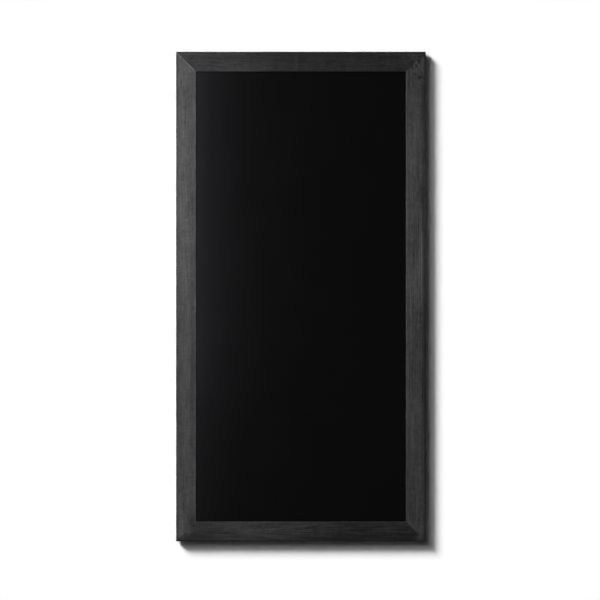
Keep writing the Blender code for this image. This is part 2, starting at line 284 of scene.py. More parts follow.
def path_tangents(path: Array, loop: bool = False) -> Array:
    """Directions along a path: the difference of each point's two neighbours, of length 1.

    Args:
        path: Points of the path, with their coordinates in the last axis.
        loop: Whether the path is closed.

    Returns:
        A direction for each point.
    """
    if loop:
        steps = np.roll(path, -1, axis=0) - np.roll(path, 1, axis=0)
    else:
        steps = np.gradient(path, axis=0)
    return steps / np.linalg.norm(steps, axis=-1, keepdims=True)


def fill_mesh(mesh: bpy.types.Mesh, shells: Sequence[Shell]) -> None:
    """Puts shells into a mesh as whole arrays of points, corners and faces.

    Args:
        mesh: An empty mesh.
        shells: The closed surfaces, each with the numbers of its finishes.
    """
    points, corners, sizes, finishes = [], [], [], []
    offset = 0
    for shell in shells:
        points.append(shell.points)
        for number, patch in enumerate(shell.patches):
            corners.append((patch + offset).ravel())
            sizes.append(np.full(len(patch), patch.shape[1]))
            finish = shell.finish_of_patch[number] if shell.finish_of_patch else 0
            finishes.append(np.full(len(patch), finish))
        offset += len(shell.points)
    places, loops, counts = np.concatenate(points), np.concatenate(corners), np.concatenate(sizes)
    mesh.vertices.add(len(places))
    mesh.vertices.foreach_set("co", places.astype(np.float32).ravel())
    mesh.loops.add(len(loops))
    mesh.loops.foreach_set("vertex_index", loops.astype(np.int32))
    mesh.polygons.add(len(counts))
    mesh.polygons.foreach_set("loop_start", (np.cumsum(counts) - counts).astype(np.int32))
    mesh.polygons.foreach_set("material_index", np.concatenate(finishes).astype(np.int32))
    mesh.update(calc_edges=True)
    mesh.validate()


def mesh_points(mesh: bpy.types.Mesh) -> Array:
    """The vertices of a mesh as one array.

    Args:
        mesh: The mesh.

    Returns:
        Points as (vertex, 3).
    """
    flat = np.empty(len(mesh.vertices) * 3, np.float32)
    mesh.vertices.foreach_get("co", flat)
    return flat.reshape(-1, 3).astype(float)


def store_attribute(mesh: bpy.types.Mesh, name: str, values: Array) -> None:
    """Keeps one number for each vertex under a name that a material can read."""
    attribute = mesh.attributes.new(name, "FLOAT", "POINT")
    attribute.data.foreach_set("value", values.astype(np.float32))


def make_object(
    name: str, shells: Sequence[Shell], materials: Sequence[bpy.types.Material]
) -> bpy.types.Object:
    """A smooth-shaded object at the origin, with its place in its mesh.

    Args:
        name: Name of the piece.
        shells: Its closed surfaces.
        materials: Its finishes, in the order of the shells' numbers.

    Returns:
        The object, linked to the scene.
    """
    mesh = bpy.data.meshes.new(name)
    fill_mesh(mesh, shells)
    for material in materials:
        mesh.materials.append(material)
    mesh.shade_smooth()
    mesh.set_sharp_from_angle(angle=SHARP_ANGLE)
    made = bpy.data.objects.new(name, mesh)
    bpy.context.scene.collection.objects.link(made)
    return made


def hand_over(piece: bpy.types.Object, node: str, body: str) -> None:
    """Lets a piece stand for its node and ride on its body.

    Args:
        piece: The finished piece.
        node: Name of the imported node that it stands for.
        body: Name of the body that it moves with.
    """
    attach(piece, body)
    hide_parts(node)
    LOG.info("%s stands for %s on %s, %d faces", piece.name, node, body, len(piece.data.polygons))


# Finishes


@dataclass(frozen=True)
class Cells:
    """A noise: its cells to the metre along each axis, its finer noises and their strength."""

    per_metre: Triple
    detail: float = 2.0
    harshness: float = 0.5


class NodeSheet:
    """A material's node tree, with short calls for the nodes that the finishes share."""

    def __init__(self, name: str) -> None:
        """Starts a material that has one Principled shader.

        Args:
            name: Name of the material.
        """
        self.material = bpy.data.materials.new(name)
        self.material.use_nodes = True
        self.tree = self.material.node_tree
        self.shader = self.tree.nodes["Principled BSDF"]
        self.place = self.node("ShaderNodeTexCoord").outputs["Object"]

    def feed(self, socket: bpy.types.NodeSocket, value: object) -> None:
        """Links a socket, or sets its own value.

        Args:
            socket: An input of a node.
            value: Another node's output, a number, a vector or a colour.
        """
        if isinstance(value, bpy.types.NodeSocket):
            self.tree.links.new(value, socket)
        elif socket.type == "RGBA":
            socket.default_value = (*value, 1.0)
        else:
            socket.default_value = value

    def node(self, kind: str, inputs: dict | None = None, **settings: object) -> bpy.types.Node:
        """Adds a node.

        Args:
            kind: Type name of the node.
            inputs: Values or sockets for its inputs, by name or number.
            **settings: Its own settings.

        Returns:
            The node.
        """
        added = self.tree.nodes.new(kind)
        for name, value in settings.items():
            setattr(added, name, value)
        for key, value in (inputs or {}).items():
            self.feed(added.inputs[key], value)
        return added

    def shade(self, **inputs: object) -> None:
        """Feeds the shader's inputs, named with underscores for spaces."""
        for name, value in inputs.items():
            self.feed(self.shader.inputs[name.replace("_", " ")], value)

    def turned(self, quarter_turns: int, shift: float) -> bpy.types.NodeSocket:
        """Object coordinates turned back about Y, so that X runs along a rail, and shifted along Y."""
        settings = {"Vector": self.place, "Rotation": (0, -quarter_turns * math.pi / 2, 0)}
        return self.node("ShaderNodeMapping", {**settings, "Location": (0, shift, 0)}).outputs[0]

    def noise(self, vector: bpy.types.NodeSocket, cells: Cells) -> bpy.types.NodeSocket:
        """Noise from 0 to 1, read at a place times its cells to the metre.

        Args:
            vector: The place.
            cells: The noise's cells.

        Returns:
            The noise.
        """
        scaled = self.node("ShaderNodeVectorMath", {0: vector, 1: cells.per_metre}, operation="MULTIPLY")
        inputs = {"Vector": scaled.outputs[0], "Scale": 1.0, "Detail": cells.detail}
        return self.node("ShaderNodeTexNoise", {**inputs, "Roughness": cells.harshness}).outputs["Fac"]

    def math(self, operation: str, first: object, second: object = 0.0) -> bpy.types.NodeSocket:
        """A Math node."""
        return self.node("ShaderNodeMath", {0: first, 1: second}, operation=operation).outputs[0]

    def fitted(
        self, value: object, low: float, high: float, to_low: float, to_high: float
    ) -> bpy.types.NodeSocket:
        """A value carried from one range to another, and held inside it."""
        inputs = {0: value, 1: low, 2: high, 3: to_low, 4: to_high}
        return self.node("ShaderNodeMapRange", inputs, interpolation_type="SMOOTHSTEP").outputs[0]

    def blended(self, parts: Sequence[tuple[object, float]]) -> bpy.types.NodeSocket:
        """The sum of several values, each times its weight.

        Args:
            parts: The values with their weights.

        Returns:
            The sum.
        """
        total: object = 0.0
        for value, weight in parts:
            inputs = {0: value, 1: weight, 2: total}
            total = self.node("ShaderNodeMath", inputs, operation="MULTIPLY_ADD").outputs[0]
        return total

    def ramp(self, factor: object, stops: Sequence[tuple[float, float]]) -> bpy.types.NodeSocket:
        """A curve through (place, value) stops.

        Args:
            factor: Place on the curve, from 0 to 1.
            stops: The stops, in order.

        Returns:
            The curve's value, as a grey.
        """
        added = self.node("ShaderNodeValToRGB", {0: factor})
        elements = added.color_ramp.elements
        while len(elements) < len(stops):
            elements.new(0.5)
        for element, (place, value) in zip(elements, stops):
            element.position = place
            element.color = (value, value, value, 1.0)
        return added.outputs[0]

    def mix(self, factor: object, first: object, second: object) -> bpy.types.NodeSocket:
        """A colour between two colours."""
        return self.node("ShaderNodeMix", {0: factor, 6: first, 7: second}, data_type="RGBA").outputs[2]

    def bump(self, height: object, distance: float, strength: float = 1.0) -> bpy.types.NodeSocket:
        """A normal from a height between 0 and 1."""
        inputs = {"Height": height, "Distance": distance, "Strength": strength}
        return self.node("ShaderNodeBump", inputs).outputs[0]

    def attribute(self, name: str) -> bpy.types.NodeSocket:
        """A number that the mesh keeps for each vertex."""
        return self.node("ShaderNodeAttribute", attribute_name=name).outputs["Fac"]


@dataclass(frozen=True)
class StainedWood:
    """Softwood under a thin black stain: the late wood takes less of it and stands out lighter.

    The noises' axes run along the rail, through its thickness and across its face. The heights
    are those of the rings, the streaks, the fibres and the pores.
    """

    dark: Colour
    light: Colour
    worn: Colour
    contrast: float
    figure: float
    streaks: float = 0.45
    bands: float = 0.30
    clouds: float = 0.35
    rings: float = 0.22
    mottle: float = 0.15
    fibres: float = 0.34
    pores: float = -0.3
    curl: float = 0.25
    streak_length: float = 0.1
    streak_cells: float = 330
    fibre_noise: Cells = Cells((38, 2100, 2100))
    band_noise: Cells = Cells((1.6, 48, 48))
    cloud_noise: Cells = Cells((7, 17, 17), 3.0, 0.6)
    curl_noise: Cells = Cells((150, 34, 34))
    mottle_noise: Cells = Cells((90, 150, 150), 2.0, 0.6)
    pore_noise: Cells = Cells((95, 1500, 1500), 1.0)
    pore_fade: tuple[float, float] = (0.66, 0.76)
    streak_sway: float = 0.9
    curl_sway: float = 0.35
    ring_stops: Stops = ((0.0, 0.3), (0.45, 0.22), (0.8, 0.75), (0.93, 1.0), (1.0, 0.3))
    wear_fade: tuple[float, float] = (0.3, 0.6)
    least_wear: float = 0.55
    heights: tuple[float, float, float, float] = (0.35, 0.55, 0.3, -0.5)
    relief: float = 0.09 * MM
    roughness: tuple[float, float] = (0.80, 0.66)
    roughness_fade: tuple[float, float] = (0.4, 1.4)
    gloss: float = 0.095
    seed_shift: float = 0.37

    def material(self, name: str, quarter_turns: int, seed: int) -> bpy.types.Material:
        """Builds the wood for one rail.

        The rings' numbers come from the mesh, and streaks and curl sway them. The tone is the
        weighted sum of all the noises, and the contrast spreads it round its middle.

        Args:
            name: Name of the material.
            quarter_turns: How far the rail is turned from lying along X.
            seed: Shifts the pattern, so that no two rails share it.

        Returns:
            The material.
        """
        sheet = NodeSheet(name)
        grain = sheet.turned(quarter_turns, self.seed_shift * seed)
        streak_noise = Cells((1 / self.streak_length, self.streak_cells, self.streak_cells), 3.0, 0.6)
        streaks = sheet.noise(grain, streak_noise)
        fibres = sheet.noise(grain, self.fibre_noise)
        bands = sheet.noise(grain, self.band_noise)
        clouds = sheet.noise(grain, self.cloud_noise)
        curl = sheet.noise(grain, self.curl_noise)
        mottle = sheet.noise(grain, self.mottle_noise)
        pores = sheet.fitted(sheet.noise(grain, self.pore_noise), *self.pore_fade, 0.0, 1.0)
        numbers = sheet.attribute("rings")
        swayed = [(numbers, 1.0), (streaks, self.streak_sway), (curl, self.curl_sway * self.figure)]
        ring = sheet.ramp(sheet.math("FRACT", sheet.blended(swayed)), self.ring_stops)
        parts = [
            (ring, self.rings),
            (streaks, self.streaks),
            (bands, self.bands),
            (clouds, self.clouds),
            (curl, self.curl * self.figure),
            (mottle, self.mottle),
            (fibres, self.fibres),
        ]
        middle = sum(weight for _, weight in parts) / 2
        spread = 0.5 / self.contrast
        tone = sheet.blended([*parts, (pores, self.pores)])
        factor = sheet.fitted(tone, middle - spread, middle + spread, 0.0, 1.0)
        toned = sheet.mix(factor, self.dark, self.light)
        # The stain attribute darkens the tone by the wood's stain and by the painted light and shade of the
        # rail's stops and outer arris.
        kept_after_stain_and_shade = sheet.math("SUBTRACT", 1.0, sheet.attribute("stain"))
        stained = sheet.node("ShaderNodeVectorMath", {0: toned, "Scale": kept_after_stain_and_shade}, operation="SCALE")
        rubbed = sheet.fitted(streaks, *self.wear_fade, self.least_wear, 1.0)
        wear = sheet.math("MULTIPLY", sheet.attribute("wear"), rubbed)
        height = sheet.blended(list(zip((ring, streaks, fibres, pores), self.heights)))
        sheet.shade(
            Base_Color=sheet.mix(wear, stained.outputs[0], self.worn),
            Roughness=sheet.fitted(tone, *self.roughness_fade, *self.roughness),
            Specular_IOR_Level=self.gloss,
            Normal=sheet.bump(height, self.relief),
        )
        return sheet.material


@dataclass(frozen=True)
class Layer:
    """One noise of a mottled finish, with its weights in the tone and in the relief."""

    cells: Cells
    tone: float
    height: float = 0.0


@dataclass(frozen=True)
class Mottled:
    """A finish between two colours: the weighted sum of its noises is its tone.

    The tone goes from dark to light over the colour's fade, and from the first roughness to the
    second over the other.
    """

    name: str
    dark: Colour
    light: Colour
    layers: tuple[Layer, ...]
    roughness: tuple[float, float]
    relief: float
    colour_fade: tuple[float, float] = (0.3, 0.7)
    roughness_fade: tuple[float, float] = (0.3, 0.7)
    metallic: float = 0.0
    gloss: float = 0.5
    gloss_tint: Colour = (1.0, 1.0, 1.0)

    def noises(self) -> tuple[Layer, ...]:
        """The finish's noises, which a finish with marks of its own adds to."""
        return self.layers

    def material(self) -> bpy.types.Material:
        """Builds the finish.

        Returns:
            The material.
        """
        sheet = NodeSheet(self.name)
        noises = [(sheet.noise(sheet.place, layer.cells), layer) for layer in self.noises()]
        tone = sheet.blended([(noise, layer.tone) for noise, layer in noises])
        height = sheet.blended([(noise, layer.height) for noise, layer in noises if layer.height])
        sheet.shade(
            Base_Color=sheet.mix(sheet.fitted(tone, *self.colour_fade, 0.0, 1.0), self.dark, self.light),
            Metallic=self.metallic,
            Roughness=sheet.fitted(tone, *self.roughness_fade, *self.roughness),
            Specular_IOR_Level=self.gloss,
            Specular_Tint=self.gloss_tint,
            Normal=sheet.bump(height, self.relief),
        )
        return sheet.material


@dataclass(frozen=True)
class ChalkCoat(Mottled):
    """The matt black coat that takes chalk: hard grit in its paint, faint clouds, and wiping marks."""

    name: str = "chalk_coat"
    dark: Colour = (0.00045, 0.00045, 0.00047)
    light: Colour = (0.00085, 0.00085, 0.00089)
    layers: tuple[Layer, ...] = (
        Layer(Cells((2600, 2600, 2600), 2.0, 0.6), 0.35, 1.0),
        Layer(Cells((9, 9, 9), 4.0, 0.55), 0.4),
        Layer(Cells((14, 14, 3), 3.0, 0.6), 0.25),
    )
    roughness: tuple[float, float] = (0.273, 0.303)
    relief: float = 0.012 * MM
    gloss: float = 0.0355
    gloss_tint: Colour = (0.90, 0.905, 1.0)


@dataclass(frozen=True)
class Fibreboard(Mottled):
    """Pressed brown fibre, the panel's core and back: a matted surface, single fibres, and clouds."""

    name: str = "pressed_fibre"
    dark: Colour = (0.120, 0.073, 0.041)
    light: Colour = (0.255, 0.163, 0.096)
    layers: tuple[Layer, ...] = (
        Layer(Cells((700, 700, 420), 4.0, 0.7), 0.55, 1.0),
        Layer(Cells((2400, 2400, 500), 2.0, 0.6), 0.35),
        Layer(Cells((16, 16, 16), 3.0), 0.10),
    )
    roughness: tuple[float, float] = (0.82, 0.68)
    relief: float = 0.05 * MM
    colour_fade: tuple[float, float] = (0.32, 0.68)


@dataclass(frozen=True)
class ZincSteel(Mottled):
    """Zinc-plated steel: fine crystals, clouds, and marks drawn out along one axis by its making."""

    dark: Colour = (0.42, 0.43, 0.44)
    light: Colour = (0.68, 0.69, 0.70)
    layers: tuple[Layer, ...] = (
        Layer(Cells((1500, 1500, 1500), 3.0, 0.65), 0.35, 0.4),
        Layer(Cells((120, 120, 120)), 0.25),
    )
    roughness: tuple[float, float] = (0.46, 0.28)
    relief: float = 0.02 * MM
    colour_fade: tuple[float, float] = (0.32, 0.68)
    metallic: float = 1.0
    drawn: Triple = (500, 500, 500)

    def noises(self) -> tuple[Layer, ...]:
        """The plating's noises and the drawn marks."""
        return (*self.layers, Layer(Cells(self.drawn, 3.0, 0.6), 0.4, 0.6))


@dataclass(frozen=True)
class BumperRubber(Mottled):
    """Moulded black rubber: a fine skin, and a faint bloom of dust on its face."""

    name: str = "bumper_rubber"
    dark: Colour = (0.010, 0.010, 0.010)
    light: Colour = (0.032, 0.032, 0.031)
    layers: tuple[Layer, ...] = (
        Layer(Cells((1800, 1800, 1800), 3.0, 0.6), 0.4, 1.0),
        Layer(Cells((260, 260, 260), 4.0, 0.7), 0.6),
    )
    roughness: tuple[float, float] = (0.58, 0.78)
    relief: float = 0.03 * MM
    colour_fade: tuple[float, float] = (0.4, 0.75)


@dataclass(frozen=True)
class AdhesiveFilm(Mottled):
    """The pale adhesive disc under a bumper, a little cloudy where it has caught air."""

    name: str = "adhesive_film"
    dark: Colour = (0.34, 0.32, 0.27)
    light: Colour = (0.52, 0.50, 0.44)
    layers: tuple[Layer, ...] = (Layer(Cells((900, 900, 900), 3.0), 1.0, 1.0),)
    roughness: tuple[float, float] = (0.30, 0.45)
    relief: float = 0.02 * MM
    colour_fade: tuple[float, float] = (0.35, 0.65)


# The frame of rails


class Side(Enum):
    """The four sides of the board, in quarter turns clockwise from the top as seen from the front."""

    TOP = 0
    RIGHT = 1
    BOTTOM = 2
    LEFT = 3

    @property
    def node(self) -> str:
        """Name of the side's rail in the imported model."""
        return ("rail_top", "stile_right", "rail_bottom", "stile_left")[self.value]

    @property
    def turn(self) -> tuple[int, int]:
        """Cosine and sine of the side's quarter turns."""
        return ((1, 0), (0, 1), (-1, 0), (0, -1))[self.value]

    @property
    def upright(self) -> bool:
        """Whether the side is a stile."""
        return self in (Side.RIGHT, Side.LEFT)


@dataclass(frozen=True)
class Board:
    """Outer size and place of the frame of rails."""

    half_width: float
    half_height: float
    middle_z: float
    back_y: float

    @classmethod
    def measured(cls) -> Board:
        """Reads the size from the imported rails, which reach the board's outer faces.

        Returns:
            The frame of rails.
        """
        stile_low, stile_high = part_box(Side.LEFT.node)
        _, top_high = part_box(Side.TOP.node)
        bottom_low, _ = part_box(Side.BOTTOM.node)
        half_height = (top_high.z - bottom_low.z) / 2
        return cls(-stile_low.x, half_height, top_high.z - half_height, stile_high.y)

    def reach(self, side: Side) -> float:
        """Distance from the board's middle to a side's outer face."""
        return self.half_width if side.upright else self.half_height

    def half_length(self, side: Side) -> float:
        """Half the outer length of a side's rail."""
        return self.half_height if side.upright else self.half_width

    def from_rail(self, side: Side, along: Array, depth: Array, inset: Array) -> Array:
        """Turns places on a rail into places in the world.

        Args:
            side: The rail's side.
            along: Distance from the rail's middle, clockwise.
            depth: Distance behind the rail's back; negative towards the front.
            inset: Distance from the rail's outer face.

        Returns:
            Points as (..., 3).
        """
        cosine, sine = side.turn
        out = self.reach(side) - inset
        x = along * cosine + out * sine
        z = self.middle_z - along * sine + out * cosine
        return np.stack(np.broadcast_arrays(x, self.back_y + depth, z), axis=-1)

    def to_rail(self, side: Side, points: Array) -> tuple[Array, Array, Array]:
        """Turns places in the world into places on a rail.

        Args:
            side: The rail's side.
            points: Points as (..., 3).

        Returns:
            The distances along, behind and in from the rail's outer face.
        """
        cosine, sine = side.turn
        x, y, z = points[..., 0], points[..., 1], points[..., 2] - self.middle_z
        return x * cosine - z * sine, y - self.back_y, self.reach(side) - x * sine - z * cosine


@dataclass(frozen=True)
class Knot:
    """A knot that lifts the rings round it, or a darker or lighter place that leaves them alone.

    Its burr is the strength of the flecks in it.
    """

    along: float
    inset: float
    length: float
    width: float
    lift: float
    dark: float = 0.0
    burr: float = 0.0
    fleck: float = 8 * MM
    coarse_shares: tuple[float, float] = (1.0, 0.8)
    fine_shares: tuple[float, float] = (0.45, 0.4)
    fine_weight: float = 0.7
    seeds: tuple[int, int] = (71, 72)

    def bell(self, along: Array, inset: Array) -> Array:
        """A bell curve round the knot: e to the minus sum of the squared distances over its size."""
        return np.exp(-((along - self.along) / self.length) ** 2 - ((inset - self.inset) / self.width) ** 2)

    def stain(self, along: Array, inset: Array) -> Array:
        """Darkness of the knot: its own, and a burr of flecks from two sizes of noise.

        Args:
            along: Distance from the rail's middle.
            inset: Distance from its outer face.

        Returns:
            The darkness at each point.
        """
        place = np.stack([along, inset], axis=-1)
        coarse_cell, fine_cell = (
            [share * self.fleck for share in shares] for shares in (self.coarse_shares, self.fine_shares)
        )
        flecks = value_noise(place, coarse_cell, self.seeds[0])
        flecks = flecks + self.fine_weight * value_noise(place, fine_cell, self.seeds[1])
        return self.bell(along, inset) * (self.dark + self.burr * flecks)


def knots_in_mm(*rows: Sequence[float]) -> tuple[Knot, ...]:
    """Knots whose places and sizes are given in millimetres.

    Args:
        *rows: Along, inset, length, width, lift and darkness, and the burr and its flecks' size
            where there is one.

    Returns:
        The knots.
    """
    knots = []
    for row in rows:
        flecks = [size * MM for size in row[7:]]
        knots.append(Knot(*(size * MM for size in row[:4]), *row[4:7], *flecks))
    return tuple(knots)


@dataclass(frozen=True)
class Grain:
    """How a rail was cut from its log: where the pith lay, and how wide the rings were."""

    seed: int
    pith_inset: float
    pith_depth: float
    depth_drift: float
    wander: float
    ring_width: float
    knots: tuple[Knot, ...] = ()
    long_sway: float = 0.21
    short_sway: float = 0.06
    short_weight: float = 0.35
    long_sink: float = 0.26
    ripple_cell: Triple = (0.05, 0.012, 0.012)
    ripple: float = 0.3

    def rings(self, along: Array, depth: Array, inset: Array) -> Array:
        """Number of the annual ring at each point.

        It is the distance from the pith over the ring width. The pith drifts and wanders along the
        rail, and each knot pushes the rings up by a bell curve round it.

        Args:
            along: Distance from the rail's middle.
            depth: Distance behind the rail's back.
            inset: Distance from its outer face.

        Returns:
            The ring's number, with its fraction.
        """
        along, depth, inset = np.broadcast_arrays(along, depth, inset)
        line = along[..., None]
        sway = value_noise(line, (self.long_sway,), self.seed)
        sway = sway + self.short_weight * value_noise(line, (self.short_sway,), self.seed + 1)
        sink = value_noise(line, (self.long_sink,), self.seed + 2)
        across = inset - self.pith_inset - self.wander * sway
        below = depth - self.pith_depth - self.depth_drift * along - self.wander * sink
        number = np.hypot(across, below) / self.ring_width
        for knot in self.knots:
            number = number + knot.lift * knot.bell(along, inset)
        place = np.stack([along, depth, inset], axis=-1)
        return number + self.ripple * value_noise(place, self.ripple_cell, self.seed + 3)


@dataclass(frozen=True)
class StainAndPaintedShade:
    """How much darker the wood is painted: by stops along the rail, which on the top and bottom rails paint
    the light falling off away from the left, and by a painted shade along the outer arris.

    A stop's place is a share of the rail's half length.
    """

    edge: float
    stops: Stops
    reach: float = 9 * MM
    cell: tuple[float, float] = (0.05, 0.004)
    patchiness: float = 0.2


@dataclass(frozen=True)
class Wear:
    """How much stain is rubbed off the two front arrises, and off the mitres at a rail's start and end.

    An arris is worn most at its crest, which is given in its own radii.
    """

    arrises: float
    mitres: tuple[float, float]
    crest: float = 0.45
    inner_narrowness: float = 5
    outer_narrowness: float = 6
    outer_share: float = 0.15
    mitre_reach: float = 2.6 * MM
    mitre_depth: float = 3 * MM
    cell: tuple[float, float] = (0.035, 0.05)
    patchiness: float = 0.25


@dataclass
class Rail:
    """One stained rail: its section carried between two mitres, with the grain raised on its faces."""

    board: Board
    side: Side
    grain: Grain
    wood: StainedWood
    stain: StainAndPaintedShade
    wear: Wear
    face: float = 53 * MM
    thickness: float = 20 * MM
    lip: float = 9 * MM
    rebate: float = 10 * MM
    outer_round: float = 4.5 * MM
    inner_round: float = 2.0 * MM
    back_round: float = 1.0 * MM
    edge_break: float = 0.25 * MM
    round_steps: int = 6
    side_pitches: tuple[float, ...] = (1.4 * MM, 0.85 * MM, 1.4 * MM, 2.5 * MM, 2.8 * MM, 2.4 * MM)
    near_stations: tuple[float, ...] = (0.0, 0.12, 0.3, 0.55, 0.9, 1.5, 2.4)
    station_pitch: float = 4.2 * MM
    end_pitch: float = 1.6 * MM
    end_reach: float = 100 * MM
    mitre_gap: float = 0.002 * MM
    raised_grain: float = 0.07 * MM
    unevenness: float = 0.10 * MM
    uneven_cell: Triple = (0.09, 0.03, 0.03)
    back_skin: float = 0.3 * MM
    back_share: float = 0.3
    mitre_round: float = 0.16 * MM
    mitre_round_reach: float = 0.7 * MM

    def section(self) -> Array:
        """The rail's section, closed, with its points closest together on the front face.

        Returns:
            Points as (inset, depth).
        """
        lip_back = self.lip - self.thickness
        back_width = self.face - self.rebate
        corners = [
            (0, 0, self.back_round),
            (0, -self.thickness, self.outer_round),
            (self.face, -self.thickness, self.inner_round),
            (self.face, lip_back, self.edge_break),
            (back_width, lip_back, 0),
            (back_width, 0, self.edge_break),
        ]
        return outline(corners, self.side_pitches, self.round_steps)

    def stations(self) -> Array:
        """Places along the rail, closer together towards the mitres.

        The near stations are distances from the mitre in millimetres.

        Returns:
            Shares of the rail's half length, from -1 to 1.
        """
        half = self.board.half_length(self.side)
        near = np.array(self.near_stations) * MM
        end = np.arange(near[-1] + self.end_pitch, self.end_reach, self.end_pitch)
        count = math.ceil((2 * half - 2 * end[-1]) / self.station_pitch)
        middle = np.linspace(-1, 1, count + 1)[1:-1] * (1 - end[-1] / half)
        from_end = np.concatenate([near, end]) / half
        return np.concatenate([from_end - 1, middle, 1 - from_end[::-1]])

    def sunk(self, along: Array, depth: Array, inset: Array, to_mitre: Array) -> Array:
        """How far the surface lies below the drawn section: early wood, unevenness and soft mitres.

        Early wood sinks by the cosine of the ring's number, and the back is planed smoother.

        Args:
            along: Distance from the rail's middle.
            depth: Distance behind its back.
            inset: Distance from its outer face.
            to_mitre: Distance from the nearer mitre.

        Returns:
            The depth of the surface at each point.
        """
        number = self.grain.rings(along, depth, inset)
        early = 0.5 + 0.5 * np.cos(TURN * number)
        place = np.stack(np.broadcast_arrays(along, depth, inset), axis=-1)
        uneven = 0.5 + 0.5 * value_noise(place, self.uneven_cell, self.grain.seed + 5)
        soft = np.exp(-((to_mitre / self.mitre_round_reach) ** 2))
        rough = np.where(depth > -self.back_skin, self.back_share, 1.0)
        return rough * (self.raised_grain * early + self.unevenness * uneven) + self.mitre_round * soft

    def shell(self) -> Shell:
        """The rail's surface, with each point at its station's share of (half length - inset).

        The surface is moved inwards by what is sunk.

        Returns:
            The closed shell.
        """
        section = self.section()
        ahead = np.roll(section, -1, axis=0) - np.roll(section, 1, axis=0)
        inward = np.stack([-ahead[:, 1], ahead[:, 0]], axis=-1)
        inward /= np.linalg.norm(inward, axis=-1, keepdims=True)
        share = self.stations()[:, None]
        inset, depth = section[None, :, 0], section[None, :, 1]
        half = self.board.half_length(self.side) - self.mitre_gap
        along = share * (half - inset)
        to_mitre = (1 - np.abs(share)) * (half - inset)
        sunk = self.sunk(along, depth, inset, to_mitre)
        sunk_depth, sunk_inset = depth + sunk * inward[:, 1], inset + sunk * inward[:, 0]
        return shell_of_rows(self.board.from_rail(self.side, along, sunk_depth, sunk_inset))

    def build(self, grooves: bpy.types.Object) -> bpy.types.Object:
        """Makes the rail, cuts the grooves of its nails, and keeps its rings and wear in the mesh.

        Args:
            grooves: An object that holds the nails' grooves.

        Returns:
            The finished piece.
        """
        material = self.wood.material(f"stained_{self.side.node}", self.side.value, self.grain.seed)
        made = make_object(f"wooden_{self.side.node}", [self.shell()], [material])
        cut_with(made, grooves)
        along, depth, inset = self.board.to_rail(self.side, mesh_points(made.data))
        store_attribute(made.data, "rings", self.grain.rings(along, depth, inset))
        store_attribute(made.data, "wear", self.wear_at(along, depth, inset))
        # The stain attribute holds the wood's stain with the painted light and shade of its stops and outer
        # arris.
        store_attribute(made.data, "stain", self.stain_and_painted_shade_at(along, depth, inset))
        hand_over(made, self.side.node, "board")
        return made

    def stain_and_painted_shade_at(self, along: Array, depth: Array, inset: Array) -> Array:
        """How much darker the wood is: by its stops, which on the top and bottom rails paint the light
        falling off away from the left, by a painted shade at the outer arris, and in the knots.

        Args:
            along: Distance from the rail's middle.
            depth: Distance behind its back.
            inset: Distance from its outer face.

        Returns:
            The share of light that the stain and the painted shade take at each point; negative where it is
            thin or painted lighter.
        """
        stain = self.stain
        places, depths = np.array(stain.stops).T
        way = np.interp(along / self.board.half_length(self.side), places, depths)
        # Painted shade over the front half of the outer arris, where the rounding turns from the front.
        edge = np.exp(-((inset / stain.reach) ** 4)) * (depth < -self.thickness / 2)
        place = np.stack([along, inset], axis=-1)
        noise = value_noise(place, stain.cell, self.grain.seed + 9)
        patchy = 1 - stain.patchiness + stain.patchiness * noise
        knots = sum(knot.stain(along, inset) for knot in self.grain.knots)
        return way + stain.edge * edge * patchy + knots

    def wear_at(self, along: Array, depth: Array, inset: Array) -> Array:
        """Share of the stain that is rubbed off: bell curves over the front arrises and the mitres.

        Args:
            along: Distance from the rail's middle.
            depth: Distance behind its back.
            inset: Distance from its outer face.

        Returns:
            The share at each point, from 0 to 1.
        """
        wear = self.wear
        from_front = depth + self.thickness
        inner = np.hypot(self.face - inset, from_front) / self.inner_round
        outer = np.hypot(inset, from_front) / self.outer_round
        to_mitre = self.board.half_length(self.side) - inset - np.abs(along)
        inner_bell = np.exp(-((inner - wear.crest) ** 2) * wear.inner_narrowness)
        outer_bell = np.exp(-((outer - wear.crest) ** 2) * wear.outer_narrowness)
        rubbed = inner_bell + wear.outer_share * outer_bell
        mitre = np.exp(-((to_mitre / wear.mitre_reach) ** 2)) * np.exp(-from_front / wear.mitre_depth)
        place = np.stack([along, inset], axis=-1)
        noise = value_noise(place, wear.cell, self.grain.seed + 7)
        patchy = 1 - wear.patchiness + wear.patchiness * noise
        share = np.where(along < 0, *wear.mitres)
        return np.clip(patchy * (wear.arrises * rubbed + share * mitre), 0, 1)


def cut_with(piece: bpy.types.Object, tool: bpy.types.Object) -> None:
    """Cuts a piece with a tool and keeps the result as its mesh.

    Args:
        piece: The piece that is cut.
        tool: An object of closed shells.
    """
    modifier = piece.modifiers.new("grooves", "BOOLEAN")
    modifier.operation = "DIFFERENCE"
    modifier.solver = "EXACT"
    modifier.object = tool
    evaluated = piece.evaluated_get(bpy.context.evaluated_depsgraph_get())
    cut = bpy.data.meshes.new_from_object(evaluated)
    cut.name = piece.name
    piece.modifiers.clear()
    piece.data = cut
    cut.set_sharp_from_angle(angle=SHARP_ANGLE)


